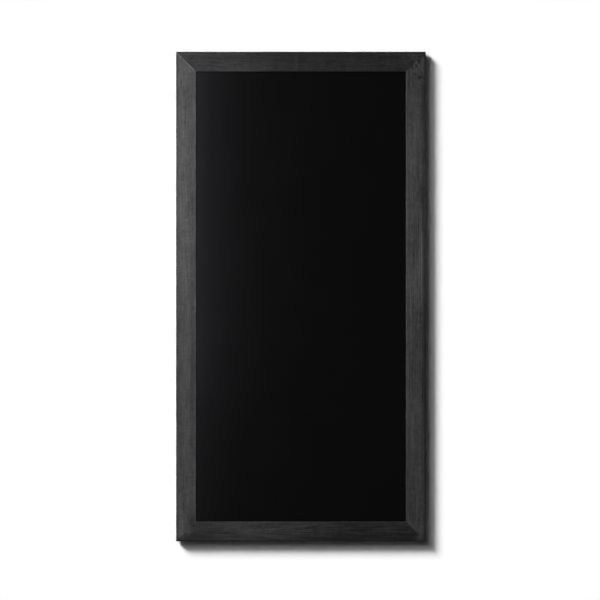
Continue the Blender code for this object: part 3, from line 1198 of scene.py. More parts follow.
@dataclass
class CornerNails:
    """Folded nails across the mitres: a strip on edge, sharpened at its deep edge."""

    board: Board
    steel: bpy.types.Material
    back_width: float = 43 * MM
    leg: float = 8.5 * MM
    hook: float = 1.4 * MM
    fold_round: float = 0.6 * MM
    strip: float = 0.5 * MM
    keen_edge: float = 0.08 * MM
    bevel: float = 1.6 * MM
    depth: float = 10 * MM
    sunk: float = 0.5 * MM
    groove_play: float = 0.08 * MM
    groove_overrun: float = 1.0 * MM
    path_pitch: float = 0.7 * MM
    fold_steps: int = 4
    edge_steps: int = 3
    places: tuple[tuple[str, float], ...] = (("outer", 0.30), ("inner", 0.72))
    corners: tuple[str, ...] = ("top_left", "top_right", "bottom_right", "bottom_left")

    def path(self) -> Array:
        """The folded strip seen from behind.

        Returns:
            Points as (along, inset) from its fold.
        """
        bend = self.hook / math.sqrt(2)
        corners = [
            (self.leg + bend, bend, 0),
            (self.leg, 0, self.fold_round),
            (0, 0, self.fold_round),
            (0, self.leg, self.fold_round),
            (bend, self.leg + bend, 0),
        ]
        return outline(corners, [self.path_pitch] * len(corners), self.fold_steps, closed=False)

    def strip_section(self, spare: float) -> Array:
        """Section of the strip: a rounded back, and a bevel to the keen edge.

        Args:
            spare: How much is added all round, for a groove.

        Returns:
            Points as (thickness, depth).
        """
        half = self.strip / 2 + spare
        keen = self.keen_edge / 2 + spare
        low = -(self.sunk + self.depth) - spare
        high = self.groove_overrun if spare else -self.sunk
        soft = self.strip / 5
        corners = [
            (-keen, low, 0),
            (keen, low, 0),
            (half, low + self.bevel, 0),
            (half, high, soft),
            (-half, high, soft),
        ]
        return outline(corners, [self.depth] * len(corners), self.edge_steps)

    def shell(self, corner: int, share: float, spare: float = 0.0) -> Shell:
        """A nail, or its groove where there is spare round it.

        Args:
            corner: Number of the corner, which is where the rail of that number starts.
            share: Place of the fold on the mitre, as a share of the rail's back.
            spare: How much is added all round.

        Returns:
            The closed shell.
        """
        side = Side(corner)
        fold = self.back_width * share
        path = self.path()
        ahead = path_tangents(path)
        along = path[:, 0] + fold - self.board.half_length(side)
        section = self.strip_section(spare)
        across = np.stack([-ahead[:, 1], ahead[:, 0]], axis=-1)
        shift = across[:, None] * section[None, :, :1]
        places = np.stack([along, path[:, 1] + fold], axis=-1)[:, None] + shift
        depth = np.broadcast_to(section[None, :, 1], places.shape[:2])
        return shell_of_rows(self.board.from_rail(side, places[..., 0], depth, places[..., 1]))

    def grooves(self) -> bpy.types.Object:
        """One object that holds the grooves of all the nails, for cutting the rails.

        Returns:
            The object.
        """
        shells = []
        for corner in range(len(self.corners)):
            shells += [self.shell(corner, share, self.groove_play) for _, share in self.places]
        return make_object("nail_grooves", shells, [])

    def build(self) -> None:
        """Makes every nail."""
        for corner, corner_name in enumerate(self.corners):
            for place, share in self.places:
                where = f"{corner_name}_{place}"
                nail = make_object(f"corner_nail_{where}", [self.shell(corner, share)], [self.steel])
                hand_over(nail, f"mitre_nail_{where}", "board")


# The writing panel and its points


@dataclass
class WritingPanel:
    """A thin board with a chalk coat on its face, laid in the rebate."""

    coat: bpy.types.Material
    core: bpy.types.Material
    arris: float = 0.4 * MM
    pitch: float = 7.0 * MM
    waviness: float = 0.12 * MM
    wave_cell: tuple[float, float] = (0.13, 0.17)
    wave_seed: int = 41

    def face_grid(self, low: Array, high: Array, y: float, inward: float) -> Array:
        """A face of the panel on a grid: its height is y, a low wave, and a drop at the outermost row.

        Args:
            low: Lowest corner of the panel.
            high: Highest corner.
            y: Place of the face.
            inward: Direction from the face into the panel along Y, 1 or -1.

        Returns:
            Points as (row, column, 3).
        """
        ticks = []
        for axis in (0, 2):
            count = math.ceil((high[axis] - low[axis]) / self.pitch)
            inner = np.linspace(low[axis] + self.arris, high[axis] - self.arris, count)
            ticks.append(np.concatenate([[low[axis]], inner, [high[axis]]]))
        x, z = np.meshgrid(ticks[0], ticks[1])
        wave = 0.5 + 0.5 * value_noise(np.stack([x, z], axis=-1), self.wave_cell, self.wave_seed)
        border = np.ones(x.shape, bool)
        border[1:-1, 1:-1] = False
        drop = np.where(border, self.arris, self.waviness * wave)
        return np.stack([x, y + inward * drop, z], axis=-1)

    def build(self) -> None:
        """Makes the panel from its coated face, its back and the edge between them."""
        low, high = (np.array(corner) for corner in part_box("writing_panel"))
        front = self.face_grid(low, high, low[1], 1.0)
        back = self.face_grid(low, high, high[1], -1.0)
        rows, columns = front.shape[:2]
        numbers = np.arange(rows * columns).reshape(rows, columns)
        rim = np.concatenate([numbers[0, :-1], numbers[:-1, -1], numbers[-1, :0:-1], numbers[:0:-1, 0]])
        beyond = rim + rows * columns
        edge = np.stack([rim, np.roll(rim, -1), np.roll(beyond, -1), beyond], axis=-1)
        faces = grid_quads(rows, columns, False, False)
        patches = [faces, faces[:, ::-1] + rows * columns, edge]
        points = np.concatenate([front.reshape(-1, 3), back.reshape(-1, 3)])
        shell = Shell(points, patches, [0, 1, 1]).outward()
        panel = make_object("chalk_panel", [shell], [self.coat, self.core])
        hand_over(panel, "writing_panel", "board")


@dataclass
class FlatPoints:
    """Flat points driven into the rebate: a tip in the wood, and a rounded tongue over the panel."""

    board: Board
    steel: bpy.types.Material
    length: float = 15 * MM
    width: float = 8 * MM
    strip: float = 0.5 * MM
    corner: float = 2 * MM
    grip: float = 7.5 * MM
    tip: float = 3.75 * MM
    lift: float = 0.35 * MM
    back_width: float = 43 * MM
    front_depth: float = -6.4 * MM
    on_rail: int = 3
    on_stile: int = 6
    writing_inset: float = 53 * MM
    edge_share: float = 0.6
    tip_share: float = 0.03
    tip_rows: int = 7
    straight_rows: int = 12
    tongue_rows: int = 8
    edge_columns: int = 5

    def shell(self, side: Side, along: float) -> Shell:
        """A point: a thin section carried from its tip to its tongue, with its width changing on the way.

        The half width grows as a straight tip, stays, and ends as the square root of a quarter
        circle. The tongue lifts off the panel by the square of its way.

        Args:
            side: The rail that it is driven into.
            along: Its place along that rail.

        Returns:
            The closed shell.
        """
        straight = np.linspace(self.tip, self.length - self.corner, self.straight_rows)[1:-1]
        turn = np.linspace(0, math.pi / 2, self.tongue_rows)
        tongue = self.length - self.corner * (1 - np.sin(turn))
        way = np.concatenate([np.linspace(0, self.tip, self.tip_rows), straight, tongue])
        half = self.width / 2
        round_share = np.clip(1 - ((way - tongue[0]) / self.corner) ** 2, 0, 1)
        shrink = half - self.corner * (1 - np.sqrt(round_share))
        half_width = np.where(way < self.tip, half * np.clip(way / self.tip, self.tip_share, 1), half)
        half_width = np.where(way > tongue[0], shrink, half_width)
        soft = self.strip / 2
        ends = np.linspace(-math.pi / 2, math.pi / 2, self.edge_columns)
        right = np.stack([np.cos(ends) * soft * self.edge_share, np.sin(ends) * soft], axis=-1)
        out = half_width[:, None] - soft * self.edge_share
        right_x = out + right[None, :, 0]
        xs = np.concatenate([right_x, -right_x[:, ::-1]], axis=1)
        ys = np.concatenate([right[:, 1], right[::-1, 1]])
        lifted = self.lift * smooth_step((way - self.grip) / (self.length - self.grip)) ** 2
        depth = self.front_depth + soft + lifted[:, None] + ys[None]
        inset = self.back_width - self.grip + way[:, None]
        return shell_of_rows(self.board.from_rail(side, along + xs, depth, np.broadcast_to(inset, xs.shape)))

    def build(self) -> None:
        """Makes every point, evenly spaced along the writing surface and numbered clockwise."""
        for side in Side:
            count = self.on_stile if side.upright else self.on_rail
            opening = 2 * (self.board.half_length(side) - self.writing_inset)
            for number in range(count):
                along = (number + 0.5) / count * opening - opening / 2
                node = f"point_{side.node}_{number + 1}"
                point = make_object(f"flat_{node}", [self.shell(side, along)], [self.steel])
                hand_over(point, node, "board")


# The hangers


class Hand(Enum):
    """The two hangers, by the side of the board that they are on."""

    LEFT = "left"
    RIGHT = "right"


@dataclass
class Hanger:
    """A folded strap, the ring in its eye and its two screws."""

    hand: Hand
    sheet_steel: bpy.types.Material
    wire_steel: bpy.types.Material
    screw_steel: bpy.types.Material
    recess_turns: tuple[float, float]
    wire: float = 2.5 * MM
    ring_bend: float = 2.5 * MM
    ring_leg: float = 4.0 * MM
    ring_play: float = 0.3 * MM
    weld_waist: float = 0.12 * MM
    strap_width: float = 16 * MM
    strap_length: float = 34 * MM
    strap_sheet: float = 1.0 * MM
    layer_gap: float = 0.2 * MM
    return_bend: float = 2.5 * MM
    eye_play: float = 0.3 * MM
    sheet_edge: float = 0.16 * MM
    hole_radius: float = 1.8 * MM
    holes: tuple[float, float] = (9.54 * MM, 26.04 * MM)
    hole_steps: int = 8
    hole_rings: int = 5
    ring_spread: float = 1.3
    same_place: float = MM / 1000
    edge_angle: float = math.radians(50)
    edge_segments: int = 2
    eye_points: int = 40
    return_points: int = 10
    bow_points: int = 57
    bend_points: int = 13
    wire_columns: int = 20
    bar_pitch: float = 0.35 * MM
    leg_pitch: float = 0.8 * MM
    weld_reach: float = 0.35 * MM

    def __post_init__(self) -> None:
        """Finds the middle of the ring's bar: the strap is centred on it, and its eye is round it."""
        strap_low, strap_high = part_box(f"hanger_strap_{self.hand.value}")
        self.eye_radius = self.wire / 2 + self.eye_play + self.strap_sheet / 2
        self.bar_x = (strap_low.x + strap_high.x) / 2
        self.bar_y = strap_low.y + self.strap_sheet / 2 + self.eye_radius
        self.bar_z = strap_low.z + self.strap_length
        self.outer_y = self.strap_sheet + self.layer_gap - self.eye_radius

    def placed(self, x: Array, y: Array, z: Array) -> Array:
        """Points in the world from places round the middle of the bar."""
        return np.stack(np.broadcast_arrays(self.bar_x + x, self.bar_y + y, self.bar_z + z), axis=-1)

    def ring_shell(self) -> Shell:
        """The ring: a circle carried round a straight bar, two bends, two legs and a bow.

        It leans on the rail by the angle whose cosine is its height over its length. The wire is a
        little thinner where its two ends are welded, in the middle of the bar.

        Returns:
            The closed shell.
        """
        reach = self.strap_width / 2 + self.ring_play
        bow = reach + self.ring_bend
        corner_high = self.ring_bend + self.ring_leg
        turn = np.linspace(0, math.pi, self.bow_points)
        bend = np.linspace(-math.pi / 2, 0, self.bend_points)
        bend_x, bend_z = reach + self.ring_bend * np.cos(bend), self.ring_bend * (1 + np.sin(bend))
        right = np.stack([bend_x, bend_z], axis=-1)
        arch = np.stack([bow * np.cos(turn), corner_high + bow * np.sin(turn)], axis=-1)
        left = (right * (-1, 1))[::-1]
        bar = divided(np.array([-reach, 0.0]), np.array([reach, 0.0]), self.bar_pitch)
        leg = divided(right[-1], arch[0], self.leg_pitch)[1:]
        flat = np.concatenate([bar, right, leg, arch, left[:-1]])
        _, ring_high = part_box(f"hanger_ring_{self.hand.value}")
        total = corner_high + bow
        lean = math.acos(min(1.0, (ring_high.z - self.bar_z - self.wire / 2) / total))
        LOG.info("the %s ring leans %.2f degrees", self.hand.value, math.degrees(lean))
        path = self.placed(flat[:, 0], -math.sin(lean) * flat[:, 1], math.cos(lean) * flat[:, 1])
        ahead = path_tangents(path, loop=True)
        plane = np.array([0.0, math.cos(lean), math.sin(lean)])
        sides = np.cross(ahead, plane)
        ups = np.broadcast_to(plane, sides.shape)
        near_weld = np.exp(-((flat[:, 0] / self.weld_reach) ** 2)) * (flat[:, 1] < self.wire)
        radius = self.wire / 2 - self.weld_waist * near_weld
        angles = np.linspace(0, TURN, self.wire_columns, endpoint=False)
        circle = np.stack([np.cos(angles), np.sin(angles)], axis=-1)
        return carried(radius[:, None, None] * circle, path, sides, ups, loop=True)

    def strap_path(self) -> Array:
        """The middle of the strap's sheet on edge: up, round the bar, a bend back and down.

        Returns:
            Points as (y, z) from the bar.
        """
        radius = self.eye_radius
        meet = math.acos((self.outer_y + self.return_bend) / (radius + self.return_bend))
        drop = (radius + self.return_bend) * math.sin(meet)
        eye = np.linspace(math.pi, -meet, self.eye_points)
        bend = np.linspace(math.pi - meet, math.pi, self.return_points)[1:]
        eye_part = np.stack([radius * np.cos(eye), radius * np.sin(eye)], axis=-1)
        bend_y = self.outer_y + self.return_bend + self.return_bend * np.cos(bend)
        bend_part = np.stack([bend_y, self.return_bend * np.sin(bend) - drop], axis=-1)
        ends = [[-radius, -self.strap_length], [self.outer_y, -self.strap_length]]
        return np.concatenate([[ends[0]], eye_part, bend_part, [ends[1]]])

    def hole_patch(self, centre: float, towards_end: float, end: float | None) -> tuple[Array, Array]:
        """Flat sheet round a hole, as (across, along): it blends from the hole's circle to its border.

        Args:
            centre: Place of the hole along the sheet.
            towards_end: Direction of the sheet's near end along it, 1 or -1.
            end: Place of that end, which is round, or none for straight borders on both sides.

        Returns:
            The points, and the quads between them.
        """
        count = self.hole_steps
        half = self.strap_width / 2
        pitch = (self.holes[1] - self.holes[0]) / 2
        ticks = np.linspace(-half, half, count, endpoint=False)
        inner_side = np.stack([ticks, np.full(count, -pitch)], axis=-1)
        if end is None:
            run = np.linspace(-pitch, pitch, count, endpoint=False)
            right_side = np.stack([np.full(count, half), run], axis=-1)
            outer_side = np.stack([-ticks, np.full(count, pitch)], axis=-1)
            left_side = np.stack([np.full(count, -half), -run], axis=-1)
            border = np.concatenate([inner_side, right_side, outer_side, left_side])
        else:
            middle = abs(end - centre) - half
            straight = pitch + middle
            length = 2 * straight + math.pi * half
            way = np.linspace(0, length, 3 * count, endpoint=False)
            angle = np.clip((way - straight) / half, 0, math.pi)
            over = np.clip(way - straight - math.pi * half, 0, None)
            down = np.clip(way, 0, straight) - pitch
            border_x = half * np.cos(angle)
            border_y = down + half * np.sin(angle) - over
            border = np.concatenate([inner_side, np.stack([border_x, border_y], axis=-1)])
        around = np.linspace(0, TURN, 4 * count, endpoint=False) - 3 * math.pi / 4
        circle = self.hole_radius * np.stack([np.cos(around), np.sin(around)], axis=-1)
        shares = np.linspace(0, 1, self.hole_rings)[:, None, None] ** self.ring_spread
        grid = circle + shares * (border - circle)
        grid[..., 1] = centre + towards_end * grid[..., 1]
        return grid.reshape(-1, 2), grid_quads(self.hole_rings, 4 * count, False, True)

    def strap_sheet_flat(self, lengths: Array) -> tuple[Array, Array]:
        """The whole flat sheet before it is folded: two pairs of holes, and the run between them.

        Args:
            lengths: Length of the folded path up to each of its points.

        Returns:
            The points as (across, along), and the quads between them.
        """
        total = float(lengths[-1])
        near, far = (self.strap_length - drop for drop in self.holes)
        pitch = (self.holes[1] - self.holes[0]) / 2
        patches = [
            self.hole_patch(far, -1.0, 0.0),
            self.hole_patch(near, -1.0, None),
            self.hole_patch(total - near, 1.0, None),
            self.hole_patch(total - far, 1.0, total),
        ]
        stops = lengths[(lengths > near + pitch) & (lengths < total - near - pitch)]
        rows = np.concatenate([[near + pitch], stops, [total - near - pitch]])
        ticks = np.linspace(-self.strap_width / 2, self.strap_width / 2, self.hole_steps + 1)
        across, along = np.meshgrid(ticks, rows)
        run = np.stack([across, along], axis=-1).reshape(-1, 2)
        patches.append((run, grid_quads(len(rows), len(ticks), False, False)))
        points, quads, offset = [], [], 0
        for places, faces in patches:
            points.append(places)
            quads.append(faces + offset)
            offset += len(places)
        return np.concatenate(points), np.concatenate(quads)

    def build_strap(self) -> None:
        """Folds the flat sheet round the bar, welds its seams, and gives it its thickness and soft edges."""
        path = self.strap_path()
        steps = np.linalg.norm(np.diff(path, axis=0), axis=-1)
        lengths = np.concatenate([[0.0], np.cumsum(steps)])
        flat, quads = self.strap_sheet_flat(lengths)
        rounded = np.round(flat / self.same_place)
        _, first, same = np.unique(rounded, axis=0, return_index=True, return_inverse=True)
        flat, quads = flat[first], same.reshape(-1)[quads]
        y = np.interp(flat[:, 1], lengths, path[:, 0])
        z = np.interp(flat[:, 1], lengths, path[:, 1])
        shell = Shell(self.placed(flat[:, 0], y, z), [one_way(flat, quads)])
        strap = make_object(f"folded_strap_{self.hand.value}", [shell], [self.sheet_steel])
        thickness = strap.modifiers.new("sheet", "SOLIDIFY")
        thickness.thickness = self.strap_sheet
        thickness.offset = 0.0
        thickness.use_even_offset = True
        edge = strap.modifiers.new("soft_edge", "BEVEL")
        edge.width = self.sheet_edge
        edge.segments = self.edge_segments
        edge.limit_method = "ANGLE"
        edge.angle_limit = self.edge_angle
        hand_over(strap, f"hanger_strap_{self.hand.value}", "board")

    def build(self) -> None:
        """Makes the strap, the ring and the screws."""
        self.build_strap()
        name = self.hand.value
        ring = make_object(f"wire_ring_{name}", [self.ring_shell()], [self.wire_steel])
        hand_over(ring, f"hanger_ring_{name}", f"ring_{name}")
        for place, turn in zip(("upper", "lower"), self.recess_turns):
            node = f"hanger_screw_{name}_{place}"
            screw = Screw.on_node(node)
            made = make_object(f"cross_screw_{name}_{place}", [screw.shell(turn)], [self.screw_steel])
            hand_over(made, node, "board")


def one_way(flat: Array, quads: Array) -> Array:
    """Turns the quads of a flat sheet the same way round, by the sign of each one's area.

    Args:
        flat: Points as (point, 2).
        quads: Four numbers for each quad.

    Returns:
        The quads, anticlockwise.
    """
    corners = flat[quads]
    diagonals = corners[:, 2] - corners[:, 0], corners[:, 3] - corners[:, 1]
    area = diagonals[0][:, 0] * diagonals[1][:, 1] - diagonals[0][:, 1] * diagonals[1][:, 0]
    return np.where(area[:, None] < 0, quads[:, ::-1], quads)


@dataclass
class Screw:
    """A domed screw with a cross recess and a coarse thread."""

    x: float
    z: float
    tip_y: float
    top_y: float
    head_height: float = 2.4 * MM
    rim: float = 0.7 * MM
    head: float = 3.5 * MM
    shank: float = 1.5 * MM
    core: float = 1.08 * MM
    thread_pitch: float = 1.35 * MM
    plain: float = 2.4 * MM
    tip: float = 3.5 * MM
    thread_fade: float = 1 * MM
    thread_power: int = 3
    blunt_share: float = 0.02
    ridge_share: float = 0.05
    recess_reach: float = 1.75 * MM
    recess_fade: float = 0.3 * MM
    recess_arm: float = 0.42 * MM
    recess_soft: float = 0.16 * MM
    recess_depth: float = 1.35 * MM
    recess_rise: float = 0.55
    columns: int = 64
    shank_rows: int = 96
    rim_rows: int = 5
    dome_rows: int = 46

    @classmethod
    def on_node(cls, node: str) -> Screw:
        """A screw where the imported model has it."""
        low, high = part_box(node)
        return cls((low.x + high.x) / 2, (low.z + high.z) / 2, low.y, high.y)

    def body_rows(self) -> tuple[Array, Array, Array]:
        """The turned profile from the tip to the middle of the head.

        Returns:
            Radius, height over the head's seat, and share of thread, each by row.
        """
        length = self.top_y - self.tip_y - self.head_height
        height = np.linspace(-length, 0, self.shank_rows)
        from_tip, fade = height + length, self.thread_fade
        taper = np.clip(from_tip / self.tip, self.blunt_share, 1)
        thread = smooth_step(from_tip / fade) * smooth_step((-height - self.plain) / fade)
        shaft = np.where(-height < self.plain, self.shank, self.core)
        shaft = self.core + (shaft - self.core) * smooth_step((height + self.plain + fade) / fade)
        radius = shaft * taper
        rim_turn = np.linspace(0, math.pi / 2, self.rim_rows)
        soft = self.rim / 3
        under = np.stack([self.head - soft * (1 - np.sin(rim_turn)), soft * (1 - np.cos(rim_turn))])
        dome_turn = np.linspace(0, math.pi / 2, self.dome_rows)[:-1]
        dome_height = self.rim + (self.head_height - self.rim) * np.sin(dome_turn)
        over = np.stack([self.head * np.cos(dome_turn), dome_height])
        radii = np.concatenate([radius, under[0], over[0], [LEAST_RADIUS]])
        heights = np.concatenate([height, under[1], over[1], [self.head_height]])
        return radii, heights, np.concatenate([thread, np.zeros(len(radii) - len(thread))])

    def shell(self, turn: float) -> Shell:
        """The screw as a grid of rows and angles.

        The thread adds a ridge to the radius, a power of the cosine of the angle less the height
        over the pitch. The recess lowers the dome inside two crossed arms.

        Args:
            turn: Angle of the recess.

        Returns:
            The closed shell.
        """
        radii, heights, thread = (values[:, None] for values in self.body_rows())
        angle = np.linspace(0, TURN, self.columns, endpoint=False)[None]
        wave = 0.5 + 0.5 * np.cos(angle - TURN * heights / self.thread_pitch)
        ridge = thread * (self.shank - self.core) * wave**self.thread_power
        taper = np.clip((heights - heights[0]) / self.tip, self.ridge_share, 1)
        radius = radii + ridge * taper
        across, up = radius * np.cos(angle), radius * np.sin(angle)
        first = across * math.cos(turn) + up * math.sin(turn)
        second = up * math.cos(turn) - across * math.sin(turn)
        nearest = np.minimum(np.abs(first), np.abs(second))
        arm = smooth_step((self.recess_arm - nearest) / self.recess_soft + 0.5)
        inside = smooth_step((self.recess_reach - radius) / self.recess_fade) * (heights > self.rim)
        deep = self.recess_depth * (1 - self.recess_rise * (radius / self.recess_reach) ** 2)
        sunk = heights - np.clip(deep, 0, None) * arm * inside
        seat = self.top_y - self.head_height
        return shell_of_rows(np.stack([self.x + across, seat + sunk, self.z + up], axis=-1))


# The bumpers


@dataclass
class Bumpers:
    """Moulded bumpers on adhesive discs, which keep the board off the wall."""

    rubber: bpy.types.Material
    film: bpy.types.Material
    base: float = 6.35 * MM
    crown: float = 5.3 * MM
    round: float = 1.0 * MM
    film_height: float = 0.35 * MM
    film_inset: float = 0.25 * MM
    foot_round: float = 0.3 * MM
    flank_hollow: float = 0.18 * MM
    dish: float = 0.25 * MM
    columns: int = 56
    foot_rows: int = 5
    flank_rows: int = 9
    crown_rows: int = 9
    dish_rows: int = 7

    def profile(self, height: float) -> tuple[Array, Array, list[int]]:
        """The turned profile from the adhesive disc to the dished crown.

        Args:
            height: Distance from the rail to the wall.

        Returns:
            Radius and height by row, and the number of the finish between each row and the next.
        """
        film_radius = self.base - self.film_inset
        film = np.array([(LEAST_RADIUS, film_radius, film_radius), (0, 0, self.film_height)])
        foot_turn = np.linspace(-math.pi / 2, 0, self.foot_rows)
        soft = self.foot_round
        foot_height = self.film_height + soft + soft * np.sin(foot_turn)
        foot = np.stack([self.base - soft + soft * np.cos(foot_turn), foot_height])
        share = np.linspace(0, 1, self.flank_rows)[1:-1]
        flank_height = foot_height[-1] + share * (height - self.round - foot_height[-1])
        hollow = self.flank_hollow * np.sin(math.pi * share)
        flank = np.stack([self.base + (self.crown - self.base) * share - hollow, flank_height])
        crown_turn = np.linspace(0, math.pi / 2, self.crown_rows)
        crown_height = height - self.round * (1 - np.sin(crown_turn))
        crown = np.stack([self.crown - self.round * (1 - np.cos(crown_turn)), crown_height])
        dish_share = np.linspace(1, 0, self.dish_rows)[1:]
        dished = np.maximum((self.crown - self.round) * dish_share, LEAST_RADIUS)
        face = np.stack([dished, height - self.dish * (1 - dish_share**2) ** 2])
        radii, heights = np.concatenate([film, foot, flank, crown, face], axis=1)
        film_rows = film.shape[1]
        return radii, heights, [1] * film_rows + [0] * (len(radii) - film_rows - 1)

    def build(self, back_y: float) -> None:
        """Makes the four bumpers, each on its adhesive disc against the rail.

        Args:
            back_y: Place of the rails' backs.
        """
        angle = np.linspace(0, TURN, self.columns, endpoint=False)[None]
        for end in ("top", "bottom"):
            for hand in Hand:
                node = f"bumper_{end}_{hand.value}"
                low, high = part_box(node)
                radii, heights, finishes = self.profile(high.y - back_y)
                x = (low.x + high.x) / 2 + radii[:, None] * np.cos(angle)
                z = (low.z + high.z) / 2 + radii[:, None] * np.sin(angle)
                grid = np.stack(np.broadcast_arrays(x, back_y + heights[:, None], z), axis=-1)
                shell = shell_of_rows(grid, finishes=finishes)
                made = make_object(f"rubber_{node}", [shell], [self.rubber, self.film])
                hand_over(made, node, "board")


# The studio


@dataclass(frozen=True)
class Lamp:
    """A soft rectangular lamp that the camera doesn't see."""

    name: str
    place: tuple[float, float, float]
    target: tuple[float, float, float]
    width: float
    height: float
    radiance: float

    def build(self) -> bpy.types.Object:
        """Hangs the lamp. Its power is its radiance times π times its area.

        Returns:
            The lamp.
        """
        light = bpy.data.lights.new(self.name, "AREA")
        light.shape = "RECTANGLE"
        light.size = self.width
        light.size_y = self.height
        light.energy = self.radiance * math.pi * self.width * self.height
        return hang(light, self.place, self.target)


def hang(light: bpy.types.Light, place: Sequence[float], target: Sequence[float]) -> bpy.types.Object:
    """Puts a light at a place, turned to its target, and out of the camera's sight.

    Args:
        light: The light.
        place: Where it hangs.
        target: What it is turned to.

    Returns:
        The lamp.
    """
    lamp = bpy.data.objects.new(light.name, light)
    lamp.location = place
    aim = Vector(target) - Vector(place)
    lamp.rotation_mode = "QUATERNION"
    lamp.rotation_quaternion = aim.to_track_quat("-Z", "Z")
    lamp.visible_camera = False
    bpy.context.scene.collection.objects.link(lamp)
    LOG.info("%s hangs at %s", light.name, tuple(place))
    return lamp


@dataclass
class Studio:
    """A white wall and a pale floor, a soft lamp from the upper left, and the camera square on."""

    board: Board
    pixel: float = 2.6655 * MM
    image_side: int = 600
    lens: float = 450.0
    sensor: float = 36.0
    off_centre: tuple[float, float] = (0.95, 3.43)
    floor_z: float = -1.6
    wall_gap: float = 0.5 * MM
    stage_reach: float = 5.0
    wall_bounce: float = 0.8
    floor_bounce: float = 0.01
    shown_tone: float = 4.08
    far_lamps: tuple[tuple[str, float, float, float, float], ...] = (
        ("raking_key", 1.391, 1.404, 18.7, 0.1908),
        ("soft_second", 0.787, 0.851, 41.4, 0.0592),
    )
    strip_x: float = -0.414
    strip_y: float = -0.658
    strip_width: float = 0.15
    strips: tuple[tuple[str, float, float, float], ...] = (
        ("left_strip_high", -0.27, 1.0, 25.5),
        ("left_strip_low", -0.70, -0.27, 8.6),
    )
    white_from: float = 0.16
    white_to: float = 0.42
    dim: float = 0.003
    paint_cells: Cells = Cells((60, 60, 60), 3.0)
    paint_fade: tuple[float, float] = (0.3, 0.7)
    paint_tones: tuple[float, float] = (0.99, 1.01)
    back_lamps: tuple[tuple[str, float, float, float, float], ...] = (
        ("back_softbox", -1.6, 2.4, 1.6, 8.0),
        ("back_fill", 2.2, 2.2, 0.4, 2.2),
    )
    back_size: float = 2.0
    board_depth: float = 20 * MM

    def __post_init__(self) -> None:
        """Starts the list of the stage's planes."""
        self.planes: list[bpy.types.Object] = []

    def shown_rays(self, sheet: NodeSheet) -> bpy.types.NodeSocket:
        """1 for camera, glossy and transmission rays, which see the white background.

        Args:
            sheet: The sheet that needs it.

        Returns:
            The socket with 1 or 0.
        """
        rays = sheet.node("ShaderNodeLightPath").outputs
        either = sheet.math("MAXIMUM", rays["Is Camera Ray"], rays["Is Glossy Ray"])
        return sheet.math("MAXIMUM", either, rays["Is Transmission Ray"])

    def stage_material(self, name: str, bounce: float) -> bpy.types.Material:
        """A pale paint: lit and shadowed round the board, and plain white further out.

        It lets the first shadow rays through and can't be seen from behind, so that it hides nothing
        in other views, while no light of the back lamps reaches it by way of the board. How far a
        point is from the board's outline is the larger of its two excesses.

        Args:
            name: Name of the material.
            bounce: Share of the light that it sends on to the board.

        Returns:
            The material.
        """
        sheet = NodeSheet(name)
        shown = self.shown_rays(sheet)
        noise = sheet.noise(sheet.place, self.paint_cells)
        mottle = sheet.fitted(noise, *self.paint_fade, *self.paint_tones)
        unseen_tone = sheet.math("MULTIPLY", mottle, bounce)
        seen_tone = sheet.math("MULTIPLY", mottle, self.shown_tone)
        tones = {0: shown, 2: unseen_tone, 3: seen_tone}
        value = sheet.node("ShaderNodeMix", tones, data_type="FLOAT").outputs[0]
        grey = sheet.node("ShaderNodeCombineColor", {0: value, 1: value, 2: value})
        paint = sheet.node("ShaderNodeBsdfDiffuse", {"Color": grey.outputs[0]})
        split = sheet.node("ShaderNodeSeparateXYZ", {0: sheet.place}).outputs
        over_x = sheet.math("SUBTRACT", sheet.math("ABSOLUTE", split["X"]), self.board.half_width)
        from_middle = sheet.math("ABSOLUTE", sheet.math("SUBTRACT", split["Z"], self.board.middle_z))
        over_z = sheet.math("SUBTRACT", from_middle, self.board.half_height)
        away = sheet.fitted(sheet.math("MAXIMUM", over_x, over_z), self.white_from, self.white_to, 0.0, 1.0)
        white = sheet.node("ShaderNodeEmission", {"Strength": 1.0})
        whiteness = sheet.math("MULTIPLY", away, shown)
        near = sheet.node("ShaderNodeMixShader", {0: whiteness, 1: paint.outputs[0], 2: white.outputs[0]})
        rays = sheet.node("ShaderNodeLightPath").outputs
        at_first = sheet.math("LESS_THAN", rays["Diffuse Depth"], 0.5)
        first_shadow = sheet.math("MULTIPLY", rays["Is Shadow Ray"], at_first)
        behind = sheet.node("ShaderNodeNewGeometry").outputs["Backfacing"]
        clear = sheet.math("MAXIMUM", first_shadow, behind)
        glass = sheet.node("ShaderNodeBsdfTransparent")
        whole = sheet.node("ShaderNodeMixShader", {0: clear, 1: near.outputs[0], 2: glass.outputs[0]})
        sheet.tree.links.new(whole.outputs[0], sheet.tree.nodes["Material Output"].inputs["Surface"])
        sheet.tree.nodes.remove(sheet.shader)
        return sheet.material

    def stage_plane(self, name: str, bounce: float, corners: Sequence[Sequence[float]]) -> None:
        """Adds a flat stage piece.

        Args:
            name: Its name, and its material's.
            bounce: Share of the light that it sends on to the board.
            corners: Its corners, anticlockwise as seen from its shown side.
        """
        mesh = bpy.data.meshes.new(name)
        mesh.from_pydata(corners, [], [range(len(corners))])
        mesh.materials.append(self.stage_material(name, bounce))
        plane = bpy.data.objects.new(name, mesh)
        bpy.context.scene.collection.objects.link(plane)
        self.planes.append(plane)

    def build_stage(self) -> None:
        """Stands up the wall behind the board and lays the floor in front of it."""
        reach, low, wall_y = self.stage_reach, self.floor_z, self.wall_gap
        wall = [(-reach, wall_y, low), (reach, wall_y, low), (reach, wall_y, reach), (-reach, wall_y, reach)]
        floor = [(-reach, -reach, low), (reach, -reach, low), (reach, reach, low), (-reach, reach, low)]
        self.stage_plane("white_wall", self.wall_bounce, wall)
        self.stage_plane("pale_floor", self.floor_bounce, floor)

